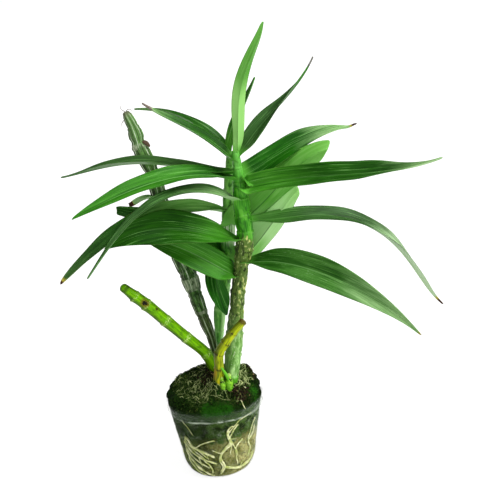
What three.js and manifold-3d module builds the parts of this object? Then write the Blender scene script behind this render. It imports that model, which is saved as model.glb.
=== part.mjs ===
// A dendrobium orchid out of flower, built together with its clear nursery pot.
// Millimetres and degrees. The origin is the centre of the pot's underside, +Z is up and
// the plant's fuller face looks towards -Y.
//
// Five canes of different ages rise from one creeping rhizome: two leafy ones in growth, a
// ribbed old one that has shed its leaves, a bare lime-green one and a short ochre stump.
// Every leaf is a blade of its own that clasps its cane with a small clearance.

import * as THREE from 'three';
import { mergeVertices } from 'three/addons/utils/BufferGeometryUtils.js';
import Module from 'manifold-3d';

const wasm = await Module();
wasm.setup();

// ---------------------------------------------------------------- driving dimensions

const CLEARANCE = 0.3; // what touching pieces leave between them

const POT = {
  height: 63,
  rimRadius: 37.6,
  taper: 0.149, // radius lost per millimetre of height below the rim
  cornerHeight: 20, // the rounded bottom corner
  footRadius: 18, // flat underside
  wall: 0.8,
  lip: 0.4, // how far the rim stands proud
  lipHeight: 2,
  stepDrop: 8, // the moulded step below the rim
  stepDepth: 0.5,
  drainRadius: 2,
  drainRing: 11,
  drains: 5,
  sideHeights: [32, 44, 59.5], // where the wall, and what lies against it, has a ring of points
  // thin soft plastic never stays truly round: how far the wall strays, and in how many waves
  crumples: [
    { depth: 0.45, waves: 2, phase: 0.6, twist: 0 },
    { depth: 0.3, waves: 5, phase: 0, twist: 0.11 },
  ],
  crumpleFrom: 4, // the foot itself stays flat and round
  segments: 32,
};

const MEDIUM = {
  shoulder: 60, // where the mound leaves the wall
  reach: 35.5, // radius of the mound
  dome: 15.5, // rise from the shoulder to the crown
  domeEdge: 11, // the higher, the steeper the mound drops to the wall
  lean: 0.17, // extra rise per millimetre towards the back
  // cushions of moss right and left, and two heaped round the feet of the canes
  tufts: [
    { x: 31, y: 12, spread: 9, height: 9.5 },
    { x: -31, y: 4, spread: 9, height: 4.5 },
    { x: -3, y: 1, spread: 8, height: 8 },
    { x: 2, y: -10, spread: 6, height: 6 },
  ],
  tuftEdge: 14, // tufts and lumps sink away only just inside the wall
  rings: [0.975, 0.93, 0.86, 0.76, 0.64, 0.5, 0.36, 0.2, 0], // shares of the radius
  lumps: 30,
  lumpReach: 33,
  lumpSpread: [3.5, 7],
  lumpHeight: [-0.8, 2.2],
  segments: 32,
};

const RHIZOME = {
  radius: 4,
  rootGap: 0.8, // roots keep this far inside the wall
  rootSteps: 1.6, // rings for each point of a root's path
  path: [[4, 21, 61], [7, 13, 61.5], [4, 5, 61.5], [14, -2, 61.5], [6, -11, 61.5], [9, -17, 61]],
};

// Each root leaves the rhizome at a point, then runs down the inside of the wall through
// stops given as [angle round the pot, height].
const ROOTS = [
  { from: [4, 3, 60], thickness: 2.4, stops: [[211, 40], [221, 33], [232, 25], [245, 17], [256, 12]] },
  { from: [4, 5, 59], thickness: 2, stops: [[205, 41], [212, 31], [224, 20], [238, 11], [252, 5]] },
  { from: [3, 8, 59], thickness: 1.9, stops: [[197, 43], [203, 30], [214, 17], [229, 8], [246, 3]] },
  {
    from: [12, -3, 60], thickness: 2.5,
    stops: [[308, 52], [292, 45], [281, 38], [283, 30], [272, 19], [273, 9], [266, 3]],
  },
  { from: [12, -8, 59], thickness: 1.9, stops: [[300, 38], [296, 28], [293, 17], [288, 9]] },
  { from: [14, 0, 59], thickness: 2.1, stops: [[334, 44], [329, 32], [318, 19], [302, 8], [284, 6]] },
  { from: [8, 14, 59], thickness: 2.2, stops: [[52, 47], [63, 34], [58, 21], [70, 9]] },
  { from: [5, 18, 59], thickness: 2, stops: [[118, 48], [104, 35], [112, 22], [98, 8]] },
];

const STEM = {
  sheath: 0.15, // the swelling at a joint dies away over this share of the span
  endReach: 0.75, // a round end is this many radii long
  endShare: 0.7, // and narrows to this share of the radius
};

// Joints of each cane from the root up, as [x, y, z, thickness].
const CANES = {
  cane_main: {
    sides: 10,
    ring: 0.05,
    colour: 0x6f8f3a,
    joints: [
      [14, -3, 66, 8.4], [15.4, -2.5, 78, 11], [18.6, -2, 96, 12.4], [21.2, -2, 114, 13],
      [24.5, -2, 132, 10.4], [27, -2, 148, 10.8], [31, -2, 166, 10.4], [33.5, -2, 181, 13],
      [35, -2, 195, 12.4], [35.5, -2, 208, 12.4], [35.5, -2, 221, 11.6], [35.2, -2, 233, 9.2],
      [35, -2, 244, 6.8], [34.6, -2, 256, 5],
    ],
  },
  cane_second: {
    sides: 10,
    ring: 0.05,
    colour: 0x4f9a3c,
    joints: [
      [8, 14, 66, 4], [7, 13, 88, 4.6], [8, 13, 110, 8.8], [11.5, 14, 129, 9.6],
      [16, 15, 148, 10], [19.5, 15, 167, 10.2], [22.5, 15, 185, 10.4], [24, 15, 199, 10.4],
      [25, 15, 211, 8.4], [26.5, 14, 225, 7.2], [28.5, 13, 240, 6], [30.5, 12, 253, 5],
    ],
  },
  cane_old: {
    sides: 16,
    ring: 0.06,
    ribs: 8,
    ribDepth: 0.05,
    colour: 0x5c6b45,
    joints: [
      [4, 20, 66, 5], [4, 19, 86, 5], [1.5, 19, 104, 7], [-3, 19, 121, 8.6], [-7.8, 20, 141, 10.6],
      [-11.5, 21, 158, 13], [-18, 22, 178, 13], [-24, 23, 201, 12.4], [-27.5, 24, 221, 11.4],
      [-31, 25, 241, 10.6], [-37, 26, 262, 10.4], [-41.5, 27, 274, 8], [-46, 28, 288, 2.6],
    ],
  },
  cane_lime: {
    sides: 10,
    ring: 0.04,
    roundEnd: true,
    colour: 0x7fbf1c,
    joints: [
      [4, 6, 66, 7], [3, 6, 79, 9], [-3, 4, 96, 9.2], [-17, 0, 113, 9.4], [-31, -4, 130, 9.6],
      [-44, -8, 146, 9.6], [-51.5, -10, 154, 9.2], [-58.5, -12, 162, 6.6],
    ],
  },
  cane_stump: {
    sides: 8,
    ring: 0.09,
    colour: 0xa5a01e,
    joints: [
      [4.5, -12, 66, 7.4], [4.5, -12, 74, 8], [7, -13, 90, 7.2], [8.3, -14, 103, 7.4],
      [14.2, -15, 112, 7.4], [20.8, -16, 120, 6.8], [29, -17, 128.5, 6],
    ],
  },
};

// Young shoots at the foot of the canes.
const BUDS = {
  bud_left: {
    joints: [[8.2, -16, 65.5, 3.6], [8.2, -15.5, 72, 4.4], [8.6, -15, 78, 4], [8, -14.5, 82.5, 2.4]],
  },
  bud_right: {
    joints: [[14, -13, 65.5, 4.4], [13.5, -12.5, 72, 6], [13.5, -11.5, 78, 6], [13.8, -10.5, 82, 3.4]],
  },
};

// Each leaf leaves its cane at a height. Heading is the compass angle that it grows towards
// (0 is +X, 90 is +Y) at its base and tip. Climb is its slope from base to tip, and lean is
// how far its upper face turns towards -Y near the base and at the tip.
const LEAVES = {
  leaf_crown_front: {
    cane: 'cane_main', at: 252, heading: [-58, -21], climb: [63, 125, 15, 79],
    length: 102, width: 10, lean: [-54, -22], peak: 0.44, taper: 0.44,
  },
  leaf_crown_back: {
    cane: 'cane_second', at: 250, heading: [25, 25], climb: [81, 60, 54, 66],
    length: 63, width: 14, lean: [4, 0], peak: 0.3,
  },
  leaf_upper_left_back: {
    cane: 'cane_second', at: 247, heading: [170, 178], climb: [70, 33, 23, 3],
    length: 86, width: 15, lean: [20, -7], peak: 0.2, taper: 0.7,
  },
  leaf_upper_left_front: {
    cane: 'cane_main', at: 247, heading: [185, 200], climb: [45, 49, 16, 45],
    length: 83, width: 16, lean: [26, 18], peak: 0.35,
  },
  leaf_upper_right_erect: {
    cane: 'cane_main', at: 249, heading: [25, 20], climb: [55, 31, 34, 61],
    length: 98, width: 15, lean: [60, -45], taper: 2.2,
  },
  leaf_left_slender: {
    cane: 'cane_main', at: 241, heading: [175, 185], climb: [-4, 49, -28, -4],
    length: 132.7, width: 18.8, lean: [15, -4], peak: 0.64, taper: 1.86,
  },
  leaf_upper_right_curled: {
    cane: 'cane_main', at: 236.5, heading: [20, 0], climb: [15, 39, 14, -3],
    length: 99, width: 18.5, lean: [60, 15], peak: 0.55, taper: 1.4, baseWidth: 0.75,
  },
  leaf_left_broad_upper: {
    cane: 'cane_main', at: 234, heading: [200, 205], climb: [25, -4, -18, -18],
    length: 130.3, width: 20.2, lean: [19, 36], peak: 0.34, taper: 0.92,
  },
  leaf_right_long: {
    cane: 'cane_main', at: 228, heading: [-26, -35], climb: [16, 0, -2, 24],
    length: 157, width: 20, lean: [64, 8], peak: 0.6, taper: 1.6, baseWidth: 0.7,
  },
  leaf_left_tailed: {
    cane: 'cane_main', at: 216, heading: [206, 229], climb: [37, 5, -48, -36],
    length: 149, width: 16, lean: [29, -14], peak: 0.1, taper: 1.2,
  },
  leaf_left_brown_tip: {
    cane: 'cane_second', at: 207, heading: [190, 215], climb: [19, -1, -45, -26],
    length: 145, width: 21, lean: [30, 0], peak: 0.45, taper: 0.6,
  },
  leaf_right_arching: {
    cane: 'cane_main', at: 203, heading: [4, -2], climb: [-5, 18, -17, -101, -39],
    length: 187, width: 18, lean: [51, -17], peak: 0.65, taper: 1.1, baseWidth: 0.65,
  },
  leaf_right_pale_upper: {
    cane: 'cane_second', at: 195, heading: [-20, -10], climb: [22, 50, 58, 10],
    length: 101, width: 24, lean: [-60, -100], peak: 0.45, tip: 0.4, taper: 0.6, baseWidth: 1.35,
  },
  leaf_left_broad_middle: {
    cane: 'cane_main', at: 187, heading: [200, 205], climb: [19, 33, 7, -31],
    length: 111, width: 27, lean: [15, 100], peak: 0.5,
  },
  leaf_left_hanging: {
    cane: 'cane_second', at: 175, heading: [215, 340], climb: [-6, -70, -87, -59],
    length: 56, width: 17, lean: [-26, -57],
  },
  leaf_right_drooping: {
    cane: 'cane_main', at: 169, heading: [-30, -45], climb: [17, -23, -9, -39],
    length: 156, width: 23, lean: [25, 80], peak: 0.35,
  },
  leaf_left_hidden: {
    cane: 'cane_second', at: 166, heading: [190, 178], climb: [82, 21, 9, 17],
    length: 100, width: 17, lean: [50, 60], tip: 0.4,
  },
  leaf_left_broad_lower: {
    cane: 'cane_main', at: 158, heading: [190, 180], climb: [37, 39, 29, 17],
    length: 84, width: 23, lean: [68, 66], taper: 0.7,
  },
  leaf_right_pale_lower: {
    cane: 'cane_second', at: 161, heading: [-15, -10], climb: [28, 50, 60, 42],
    length: 89, width: 18, lean: [-55, -98], peak: 0.5, tip: 0.35, baseWidth: 1.35,
  },
  leaf_old_remnant: {
    cane: 'cane_old', at: 220, heading: [190, 200], climb: [39, -19, -26, -15],
    length: 25.4, width: 8.7, lean: [-19, 34], tip: 0.5, peak: 0.5,
  },
};

const BLADE = {
  stations: 10,
  substeps: 4, // steps that the midrib takes between two stations
  across: [-1, -0.5, 0, 0.5, 1],
  fold: 14, // how steeply each half rises from the midrib
  midribThickness: 1.1,
  edgeThickness: 0.75,
  baseWidth: 0.55, // share of the full width where the blade clasps the cane
  peak: 0.42, // where along its length the blade is widest
  tip: 0.06, // share of the full width left at the tip
  settle: 0.2, // share of the length in which the lean builds up
};

// ---------------------------------------------------------------- small tools

const MERGE_DISTANCE = 1e-4;
const radians = THREE.MathUtils.degToRad;
const vector = ([x, y, z]) => new THREE.Vector3(x, y, z);

// Seeded draws, so the lumps fall in the same places each time.
function seededRandom(seed) {
  let state = seed;
  return () => {
    state = (state * 1664525 + 1013904223) % 4294967296;
    return state / 4294967296;
  };
}

// A Bernstein polynomial through its first and last value, pulled by those between.
function blendAlong(values, s) {
  let row = [...values];
  while (row.length > 1) {
    row = row.slice(1).map((value, i) => THREE.MathUtils.lerp(row[i], value, s));
  }
  return row[0];
}

function solidOf(geometry) {
  const bare = geometry.clone();
  bare.deleteAttribute('normal');
  bare.deleteAttribute('uv');
  const merged = mergeVertices(bare, MERGE_DISTANCE);
  return new wasm.Manifold(new wasm.Mesh({
    numProp: 3,
    vertProperties: new Float32Array(merged.attributes.position.array),
    triVerts: new Uint32Array(merged.index.array),
  }));
}

function geometryOf(solid) {
  const mesh = solid.getMesh();
  const geometry = new THREE.BufferGeometry();
  geometry.setAttribute('position', new THREE.BufferAttribute(mesh.vertProperties, 3));
  geometry.setIndex(new THREE.BufferAttribute(mesh.triVerts, 1));
  return geometry;
}

// Cutting can strand a loose scrap beside the piece that matters.
function largestBody(solid) {
  const bodies = solid.decompose();
  return bodies.reduce((best, body) => (body.volume() > best.volume() ? body : best));
}

function closedMesh(points, triangles) {
  const geometry = new THREE.BufferGeometry();
  geometry.setAttribute('position', new THREE.Float32BufferAttribute(points.flatMap((p) => p.toArray()), 3));
  geometry.setIndex(triangles);
  return geometry;
}

// ---------------------------------------------------------------- pot and what fills it

const coneRadius = (z) => POT.rimRadius - POT.taper * (POT.height - z);

// The bottom corner is a quarter ellipse. Inset by an offset it gives the wall's inside.
function cornerPoint(turn, offset) {
  const reach = coneRadius(POT.cornerHeight) - POT.footRadius - offset;
  return new THREE.Vector2(
    POT.footRadius + reach * Math.sin(turn),
    POT.cornerHeight - (POT.cornerHeight - offset) * Math.cos(turn),
  );
}

function wallRadius(z, offset) {
  if (z >= POT.cornerHeight) return coneRadius(z) - offset;
  const drop = (POT.cornerHeight - z) / (POT.cornerHeight - offset);
  const reach = coneRadius(POT.cornerHeight) - POT.footRadius - offset;
  return POT.footRadius + reach * Math.sqrt(Math.max(0, 1 - drop * drop));
}

function crumple(angle, z) {
  const rise = THREE.MathUtils.smoothstep(z, POT.crumpleFrom, POT.height);
  return rise * POT.crumples.reduce(
    (sum, { depth, waves, phase, twist }) => sum + depth * Math.sin(waves * angle + phase + twist * z),
    0,
  );
}

function crumpled(geometry) {
  const position = geometry.attributes.position;
  for (let i = 0; i < position.count; i += 1) {
    const x = position.getX(i);
    const y = position.getY(i);
    const grown = 1 + crumple(Math.atan2(y, x), position.getZ(i)) / POT.rimRadius;
    position.setXY(i, x * grown, y * grown);
  }
  return geometry;
}

function turned(profile, segments) {
  return new THREE.LatheGeometry(profile, segments).rotateX(Math.PI / 2);
}

function cornerProfile(offset) {
  const turns = [0, 0.25, 0.5, 0.75, 1];
  return turns.map((share) => cornerPoint((share * Math.PI) / 2, offset));
}

function potSolid() {
  const stepZ = POT.height - POT.stepDrop;
  const outer = (z, proud = 0) => new THREE.Vector2(coneRadius(z) + proud, z);
  const inner = (z) => new THREE.Vector2(coneRadius(z) - POT.wall, z);
  const outside = [
    new THREE.Vector2(0, 0),
    ...cornerProfile(0),
    ...POT.sideHeights.slice(0, -1).map((z) => outer(z)),
    outer(stepZ - 1),
    outer(stepZ, POT.stepDepth),
    outer(stepZ + 1),
    outer(POT.height - POT.lipHeight),
    outer(POT.height - POT.lipHeight + 0.4, POT.lip),
    outer(POT.height, POT.lip),
  ];
  const inside = [
    inner(POT.height),
    ...POT.sideHeights.map((z) => inner(z)).reverse(),
    ...cornerProfile(POT.wall).reverse(),
    new THREE.Vector2(0, POT.wall),
  ];
  let pot = solidOf(crumpled(turned([...outside, ...inside], POT.segments)));
  for (let i = 0; i < POT.drains; i += 1) {
    const angle = (i * 2 * Math.PI) / POT.drains;
    const drain = new THREE.CylinderGeometry(POT.drainRadius, POT.drainRadius, 4 * POT.wall, 8)
      .rotateX(Math.PI / 2)
      .translate(POT.drainRing * Math.cos(angle), POT.drainRing * Math.sin(angle), 0);
    pot = pot.subtract(solidOf(drain));
  }
  return pot;
}

const random = seededRandom(7);
const lumps = Array.from({ length: MEDIUM.lumps }, () => {
  const angle = random() * 2 * Math.PI;
  const reach = MEDIUM.lumpReach * Math.sqrt(random());
  return {
    x: reach * Math.cos(angle),
    y: reach * Math.sin(angle),
    spread: THREE.MathUtils.lerp(...MEDIUM.lumpSpread, random()),
    height: THREE.MathUtils.lerp(...MEDIUM.lumpHeight, random()),
  };
});

function moundHeight(x, y) {
  const out = Math.min(1, Math.hypot(x, y) / MEDIUM.reach);
  let z = MEDIUM.shoulder + (MEDIUM.dome + MEDIUM.lean * y) * (1 - out ** MEDIUM.domeEdge);
  for (const lump of [...MEDIUM.tufts, ...lumps]) {
    const away = Math.hypot(x - lump.x, y - lump.y);
    z += lump.height * Math.exp(-((away / lump.spread) ** 2)) * (1 - out ** MEDIUM.tuftEdge);
  }
  return z;
}

// What fills the pot stops a clearance inside its wall.
const FILL_OFFSET = POT.wall + CLEARANCE;

function fillProfile() {
  return [
    new THREE.Vector2(0, FILL_OFFSET),
    ...cornerProfile(FILL_OFFSET),
    ...POT.sideHeights.map((z) => new THREE.Vector2(wallRadius(z, FILL_OFFSET), z)),
  ];
}

function cavitySolid() {
  const top = MEDIUM.shoulder + MEDIUM.dome;
  const lid = [new THREE.Vector2(wallRadius(MEDIUM.shoulder, FILL_OFFSET), top), new THREE.Vector2(0, top)];
  return solidOf(crumpled(turned([...fillProfile(), ...lid], POT.segments)));
}

function mediumSolid() {
  const edge = wallRadius(MEDIUM.shoulder, FILL_OFFSET);
  const profile = [
    ...fillProfile(),
    ...MEDIUM.rings.map((share) => new THREE.Vector2(edge * share, MEDIUM.shoulder)),
  ];
  const geometry = crumpled(turned(profile, MEDIUM.segments));
  const position = geometry.attributes.position;
  for (let i = 0; i < position.count; i += 1) {
    if (position.getZ(i) > POT.sideHeights.at(-1)) {
      position.setZ(i, moundHeight(position.getX(i), position.getY(i)));
    }
  }
  return solidOf(geometry);
}

// ---------------------------------------------------------------- rhizome and roots

function tube(points, radius, steps) {
  const section = new THREE.Shape().absarc(0, 0, radius, 0, 2 * Math.PI);
  return new THREE.ExtrudeGeometry(section, {
    extrudePath: new THREE.CatmullRomCurve3(points, false, 'centripetal'),
    steps,
    curveSegments: 3, // a full circle takes twice as many
    bevelEnabled: false,
  });
}

function rootSolid({ from, thickness, stops }, extra) {
  const offset = POT.wall + RHIZOME.rootGap + thickness / 2;
  const onWall = stops.map(([degrees, z]) => {
    const angle = radians(degrees);
    const reach = wallRadius(z, offset) * (1 + crumple(angle, z) / POT.rimRadius);
    return new THREE.Vector3(reach * Math.cos(angle), reach * Math.sin(angle), z);
  });
  const points = [vector(from), ...onWall];
  return solidOf(tube(points, thickness / 2 + extra, Math.round(RHIZOME.rootSteps * points.length)));
}

function rhizomeSolid(extra) {
  const path = RHIZOME.path.map(vector);
  let solid = solidOf(tube(path, RHIZOME.radius + extra, 3 * path.length));
  for (const root of ROOTS) solid = solid.add(rootSolid(root, extra));
  return extra > 0 ? solid : solid.intersect(cavitySolid());
}

// ---------------------------------------------------------------- canes and buds

// A stem is swept through its joints. Each joint is a slight ring, and an old cane has ribs.
function stem({ joints, sides = 8, ring = 0.05, ribs = 0, ribDepth = 0, roundEnd = false }, extra) {
  const curve = new THREE.CatmullRomCurve3(joints.map(vector), false, 'centripetal');
  const spans = joints.length - 1;
  const stops = [];
  for (let i = 0; i < spans; i += 1) stops.push(i, i + STEM.sheath, i + 1 - STEM.sheath);
  stops.push(spans);
  const points = [];
  const across = new THREE.Vector3(0, 1, 0);
  const radiusAt = (stop) => {
    const i = Math.min(Math.floor(stop), spans - 1);
    const radius = THREE.MathUtils.lerp(joints[i][3], joints[i + 1][3], stop - i) / 2;
    const atJoint = Number.isInteger(stop) && stop > 0 && stop < spans;
    return radius * (atJoint ? 1 + ring : 1);
  };
  const addRing = (centre, along, radius) => {
    const side = new THREE.Vector3().crossVectors(across, along).normalize();
    const front = new THREE.Vector3().crossVectors(along, side).normalize();
    for (let k = 0; k < sides; k += 1) {
      const turn = (k * 2 * Math.PI) / sides;
      const ribbed = radius * (1 + ribDepth * Math.cos(ribs * turn)) + extra;
      points.push(centre.clone()
        .addScaledVector(side, ribbed * Math.cos(turn))
        .addScaledVector(front, ribbed * Math.sin(turn)));
    }
  };
  stops.forEach((stop, index) => {
    const t = stop / spans;
    const along = curve.getTangent(t);
    const centre = curve.getPoint(t);
    if (index === 0) centre.addScaledVector(along, -extra);
    if (index === stops.length - 1) centre.addScaledVector(along, extra);
    addRing(centre, along, radiusAt(stop));
  });
  if (roundEnd) {
    const along = curve.getTangent(1);
    const radius = radiusAt(spans);
    const tip = curve.getPoint(1).addScaledVector(along, STEM.endReach * radius + extra);
    addRing(tip, along, STEM.endShare * radius);
  }
  const ringCount = points.length / sides;
  const triangles = [];
  for (let i = 0; i < ringCount - 1; i += 1) {
    for (let k = 0; k < sides; k += 1) {
      const a = i * sides + k;
      const b = i * sides + ((k + 1) % sides);
      triangles.push(a, b, b + sides, a, b + sides, a + sides);
    }
  }
  const last = (ringCount - 1) * sides;
  for (let k = 1; k < sides - 1; k += 1) {
    triangles.push(0, k + 1, k, last, last + k, last + k + 1);
  }
  return solidOf(closedMesh(points, triangles));
}

function caneAxisAt(cane, height) {
  const { joints } = CANES[cane];
  const above = joints.findIndex((joint) => joint[2] >= height);
  const [low, high] = [joints[above - 1], joints[above]];
  const share = (height - low[2]) / (high[2] - low[2]);
  return vector(low).lerp(vector(high), share);
}

// ---------------------------------------------------------------- leaves

function outline(s, { baseWidth = BLADE.baseWidth, peak = BLADE.peak, tip = BLADE.tip, taper = 1 }) {
  if (s < peak) return baseWidth + (1 - baseWidth) * Math.sin((Math.PI / 2) * (s / peak));
  return tip + (1 - tip) * Math.cos((Math.PI / 2) * ((s - peak) / (1 - peak))) ** taper;
}

// The midrib grows step by step in the direction that heading and climb give.
function blade(leaf, extra) {
  const { cane, at, heading, climb, length, width, lean } = leaf;
  const steps = (BLADE.stations - 1) * BLADE.substeps;
  const centre = caneAxisAt(cane, at);
  const row = BLADE.across.length;
  const top = [];
  const bottom = [];
  const fold = Math.tan(radians(BLADE.fold));
  const viewSign = Math.cos(radians(heading[0])) > 0 ? 1 : -1;
  for (let i = 0; i <= steps; i += 1) {
    const s = i / steps;
    const turn = radians(blendAlong(heading, s));
    const slope = radians(blendAlong(climb, s));
    const along = new THREE.Vector3(
      Math.cos(slope) * Math.cos(turn),
      Math.cos(slope) * Math.sin(turn),
      Math.sin(slope),
    );
    if (i % BLADE.substeps === 0) {
      const flatSide = new THREE.Vector3(-Math.sin(turn), Math.cos(turn), 0);
      const turnedSoFar = THREE.MathUtils.smoothstep(s, 0, BLADE.settle);
      const roll = viewSign * radians(blendAlong(lean, s)) * turnedSoFar;
      const side = flatSide.applyAxisAngle(along, roll);
      const up = new THREE.Vector3().crossVectors(along, side);
      const half = (width / 2) * outline(s, leaf) + extra;
      const push = i === 0 ? -extra : i === steps ? extra : 0;
      for (const share of BLADE.across) {
        const thickness = THREE.MathUtils.lerp(BLADE.midribThickness, BLADE.edgeThickness, Math.abs(share));
        const point = centre.clone()
          .addScaledVector(along, push)
          .addScaledVector(side, half * share)
          .addScaledVector(up, half * Math.abs(share) * fold);
        top.push(point.clone().addScaledVector(up, thickness / 2 + extra));
        bottom.push(point.addScaledVector(up, -thickness / 2 - extra));
      }
    }
    centre.addScaledVector(along, length / steps);
  }
  const under = top.length;
  const triangles = [];
  for (let i = 0; i < BLADE.stations - 1; i += 1) {
    for (let k = 0; k < row - 1; k += 1) {
      const a = i * row + k;
      const b = a + 1;
      const c = b + row;
      const d = a + row;
      // both faces are split along the same diagonal, so a twisted blade never crosses itself
      triangles.push(a, d, c, a, c, b);
      triangles.push(under + a, under + c, under + d, under + a, under + b, under + c);
    }
    for (const [k, flip] of [[0, false], [row - 1, true]]) {
      const a = i * row + k;
      const d = a + row;
      if (flip) triangles.push(a, d, under + d, a, under + d, under + a);
      else triangles.push(a, under + d, d, a, under + a, under + d);
    }
  }
  for (const [i, flip] of [[0, false], [BLADE.stations - 1, true]]) {
    for (let k = 0; k < row - 1; k += 1) {
      const a = i * row + k;
      const b = a + 1;
      if (flip) triangles.push(a, under + b, b, a, under + a, under + b);
      else triangles.push(a, b, under + b, a, under + b, under + a);
    }
  }
  return solidOf(closedMesh([...top, ...bottom], triangles));
}

// ---------------------------------------------------------------- assembly

const plant = new THREE.Group();

function addNode(name, solid, colour, roughness) {
  const material = new THREE.MeshStandardMaterial({ color: colour, roughness, metalness: 0 });
  const mesh = new THREE.Mesh(geometryOf(solid), material);
  mesh.name = name;
  plant.add(mesh);
}

const stems = { ...CANES, ...BUDS };
const stemCutters = Object.fromEntries(
  Object.entries(stems).map(([name, spec]) => [name, stem(spec, CLEARANCE)]),
);
const rhizomeCutter = rhizomeSolid(CLEARANCE);

addNode('clear_pot', potSolid(), 0xdfe8e2, 0.15);

let medium = mediumSolid().subtract(rhizomeCutter);
for (const cutter of Object.values(stemCutters)) medium = medium.subtract(cutter);
addNode('growing_medium', largestBody(medium), 0x2f3d1a, 0.95);
addNode('rhizome_and_roots', rhizomeSolid(0), 0xc9c88a, 0.6);

for (const [name, spec] of Object.entries(CANES)) {
  addNode(name, largestBody(stem(spec, 0).subtract(rhizomeCutter)), spec.colour, 0.45);
}

for (const [name, spec] of Object.entries(BUDS)) {
  let bud = stem(spec, 0).subtract(rhizomeCutter);
  for (const cane of Object.keys(CANES)) bud = bud.subtract(stemCutters[cane]);
  if (name === 'bud_right') bud = bud.subtract(stemCutters.bud_left);
  addNode(name, largestBody(bud), 0x5aa828, 0.4);
}

// A leaf gives way to its canes and to the leaves that opened before it.
const leafCutters = [];
for (const [name, leaf] of Object.entries(LEAVES)) {
  let solid = blade(leaf, 0);
  for (const cane of Object.keys(CANES)) solid = solid.subtract(stemCutters[cane]);
  for (const cutter of leafCutters) solid = solid.subtract(cutter);
  leafCutters.push(blade(leaf, CLEARANCE));
  addNode(name, largestBody(solid), 0x2f7a2c, 0.4);
}

export default plant;
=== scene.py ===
import bmesh
import bpy
import random
from math import atan2, cos, degrees, exp, hypot, pi, radians, sin, sqrt, tan
from mathutils import Matrix, Vector, kdtree, noise


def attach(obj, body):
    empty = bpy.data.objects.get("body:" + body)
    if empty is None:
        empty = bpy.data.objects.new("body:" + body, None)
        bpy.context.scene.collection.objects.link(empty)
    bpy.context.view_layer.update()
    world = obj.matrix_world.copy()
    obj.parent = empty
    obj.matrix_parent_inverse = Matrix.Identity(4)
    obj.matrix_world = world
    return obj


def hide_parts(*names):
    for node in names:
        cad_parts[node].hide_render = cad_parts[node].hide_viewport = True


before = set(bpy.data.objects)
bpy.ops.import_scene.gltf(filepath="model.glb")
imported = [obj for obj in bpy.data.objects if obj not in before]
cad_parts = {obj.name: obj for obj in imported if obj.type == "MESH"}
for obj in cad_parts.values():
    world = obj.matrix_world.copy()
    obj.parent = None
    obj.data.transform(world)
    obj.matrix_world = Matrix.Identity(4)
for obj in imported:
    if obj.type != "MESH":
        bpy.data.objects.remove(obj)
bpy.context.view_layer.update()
scene = bpy.context.scene
mm = 0.001


# small sums that every piece uses

def mix(a, b, t):
    return a + (b - a) * t


def clamp(x, low=0.0, high=1.0):
    return max(low, min(high, x))


def smooth(x, low, high):
    t = clamp((x - low) / (high - low))
    return t * t * (3 - 2 * t)


def hump(x, width):
    return exp(-((x / width) ** 2))


def ringPoint(turn, radius, z=0.0):
    return Vector((radius * cos(turn), radius * sin(turn), z))


def rough(point, size, seed=0.0):
    # noise from -1 to 1 whose lumps are about size across
    return noise.noise(Vector(point) / size + Vector((seed, seed * 0.37, -seed)))


def blendAlong(values, s):
    # a Bernstein polynomial from the first value to the last
    row = list(values)
    while len(row) > 1:
        row = [mix(a, b, s) for a, b in zip(row, row[1:])]
    return row[0]


def curveAt(points, t):
    # a centripetal Catmull-Rom curve through the points, t from 0 to 1
    spot = clamp(t) * (len(points) - 1)
    i = min(int(spot), len(points) - 2)
    w = spot - i
    b, c = points[i], points[i + 1]
    a = points[i - 1] if i > 0 else b * 2 - c
    d = points[i + 2] if i + 2 < len(points) else c * 2 - b
    ab, bc, cd = (max((q - p).length, 1e-6) ** 0.5 for p, q in ((a, b), (b, c), (c, d)))
    out = ((b - a) / ab - (c - a) / (ab + bc) + (c - b) / bc) * bc
    back = ((c - b) / bc - (d - b) / (bc + cd) + (d - c) / cd) * bc
    return b + out * w + ((c - b) * 3 - out * 2 - back) * w ** 2 + ((b - c) * 2 + out + back) * w ** 3


def tint(code):
    # a web colour as the linear colour that Blender mixes
    parts = [int(code[i:i + 2], 16) / 255 for i in (1, 3, 5)]
    return tuple(p / 12.92 if p <= 0.04045 else ((p + 0.055) / 1.055) ** 2.4 for p in parts) + (1.0,)


# mesh makers

def markLayer(bm, name):
    layers = bm.verts.layers.float_vector
    return layers.get(name) or layers.new(name)


def rolledGrid(bm, columns, rows, place):
    # a grid rolled up into a skin: place gives each vertex its point and its growth marks
    growthLayer = markLayer(bm, "growth")
    runLayer = markLayer(bm, "run")
    made = bmesh.ops.create_grid(bm, x_segments=columns, y_segments=rows, size=0.5)["verts"]
    for vert in made:
        vert.co, vert[growthLayer], vert[runLayer] = place(vert.co.x + 0.5, vert.co.y + 0.5)
    bmesh.ops.remove_doubles(bm, verts=made, dist=2e-6)
    made = [vert for vert in made if vert.is_valid]
    rims = list({edge for vert in made for edge in vert.link_edges if edge.is_boundary})
    bmesh.ops.holes_fill(bm, edges=rims, sides=0)
    bmesh.ops.recalc_face_normals(bm, faces=list({face for vert in made for face in vert.link_faces}))
    return bm


def manyStrands(count, sides, steps, place):
    # count closed strands from one grid: the cells between two strands are taken out
    bm = bmesh.new()
    growthLayer = markLayer(bm, "growth")
    wide = count * (sides + 1) - 1
    made = bmesh.ops.create_grid(bm, x_segments=wide, y_segments=steps, size=0.5)["verts"]
    between = [face for face in bm.faces
               if int((face.calc_center_median().x + 0.5) * wide) % (sides + 1) == sides]
    bmesh.ops.delete(bm, geom=between, context="FACES")
    for vert in made:
        strand, side = divmod(round((vert.co.x + 0.5) * wide), sides + 1)
        vert.co, vert[growthLayer] = place(strand, 2 * pi * side / sides, vert.co.y + 0.5)
    bmesh.ops.remove_doubles(bm, verts=made, dist=1e-6)
    bmesh.ops.recalc_face_normals(bm, faces=bm.faces)
    return bm


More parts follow.
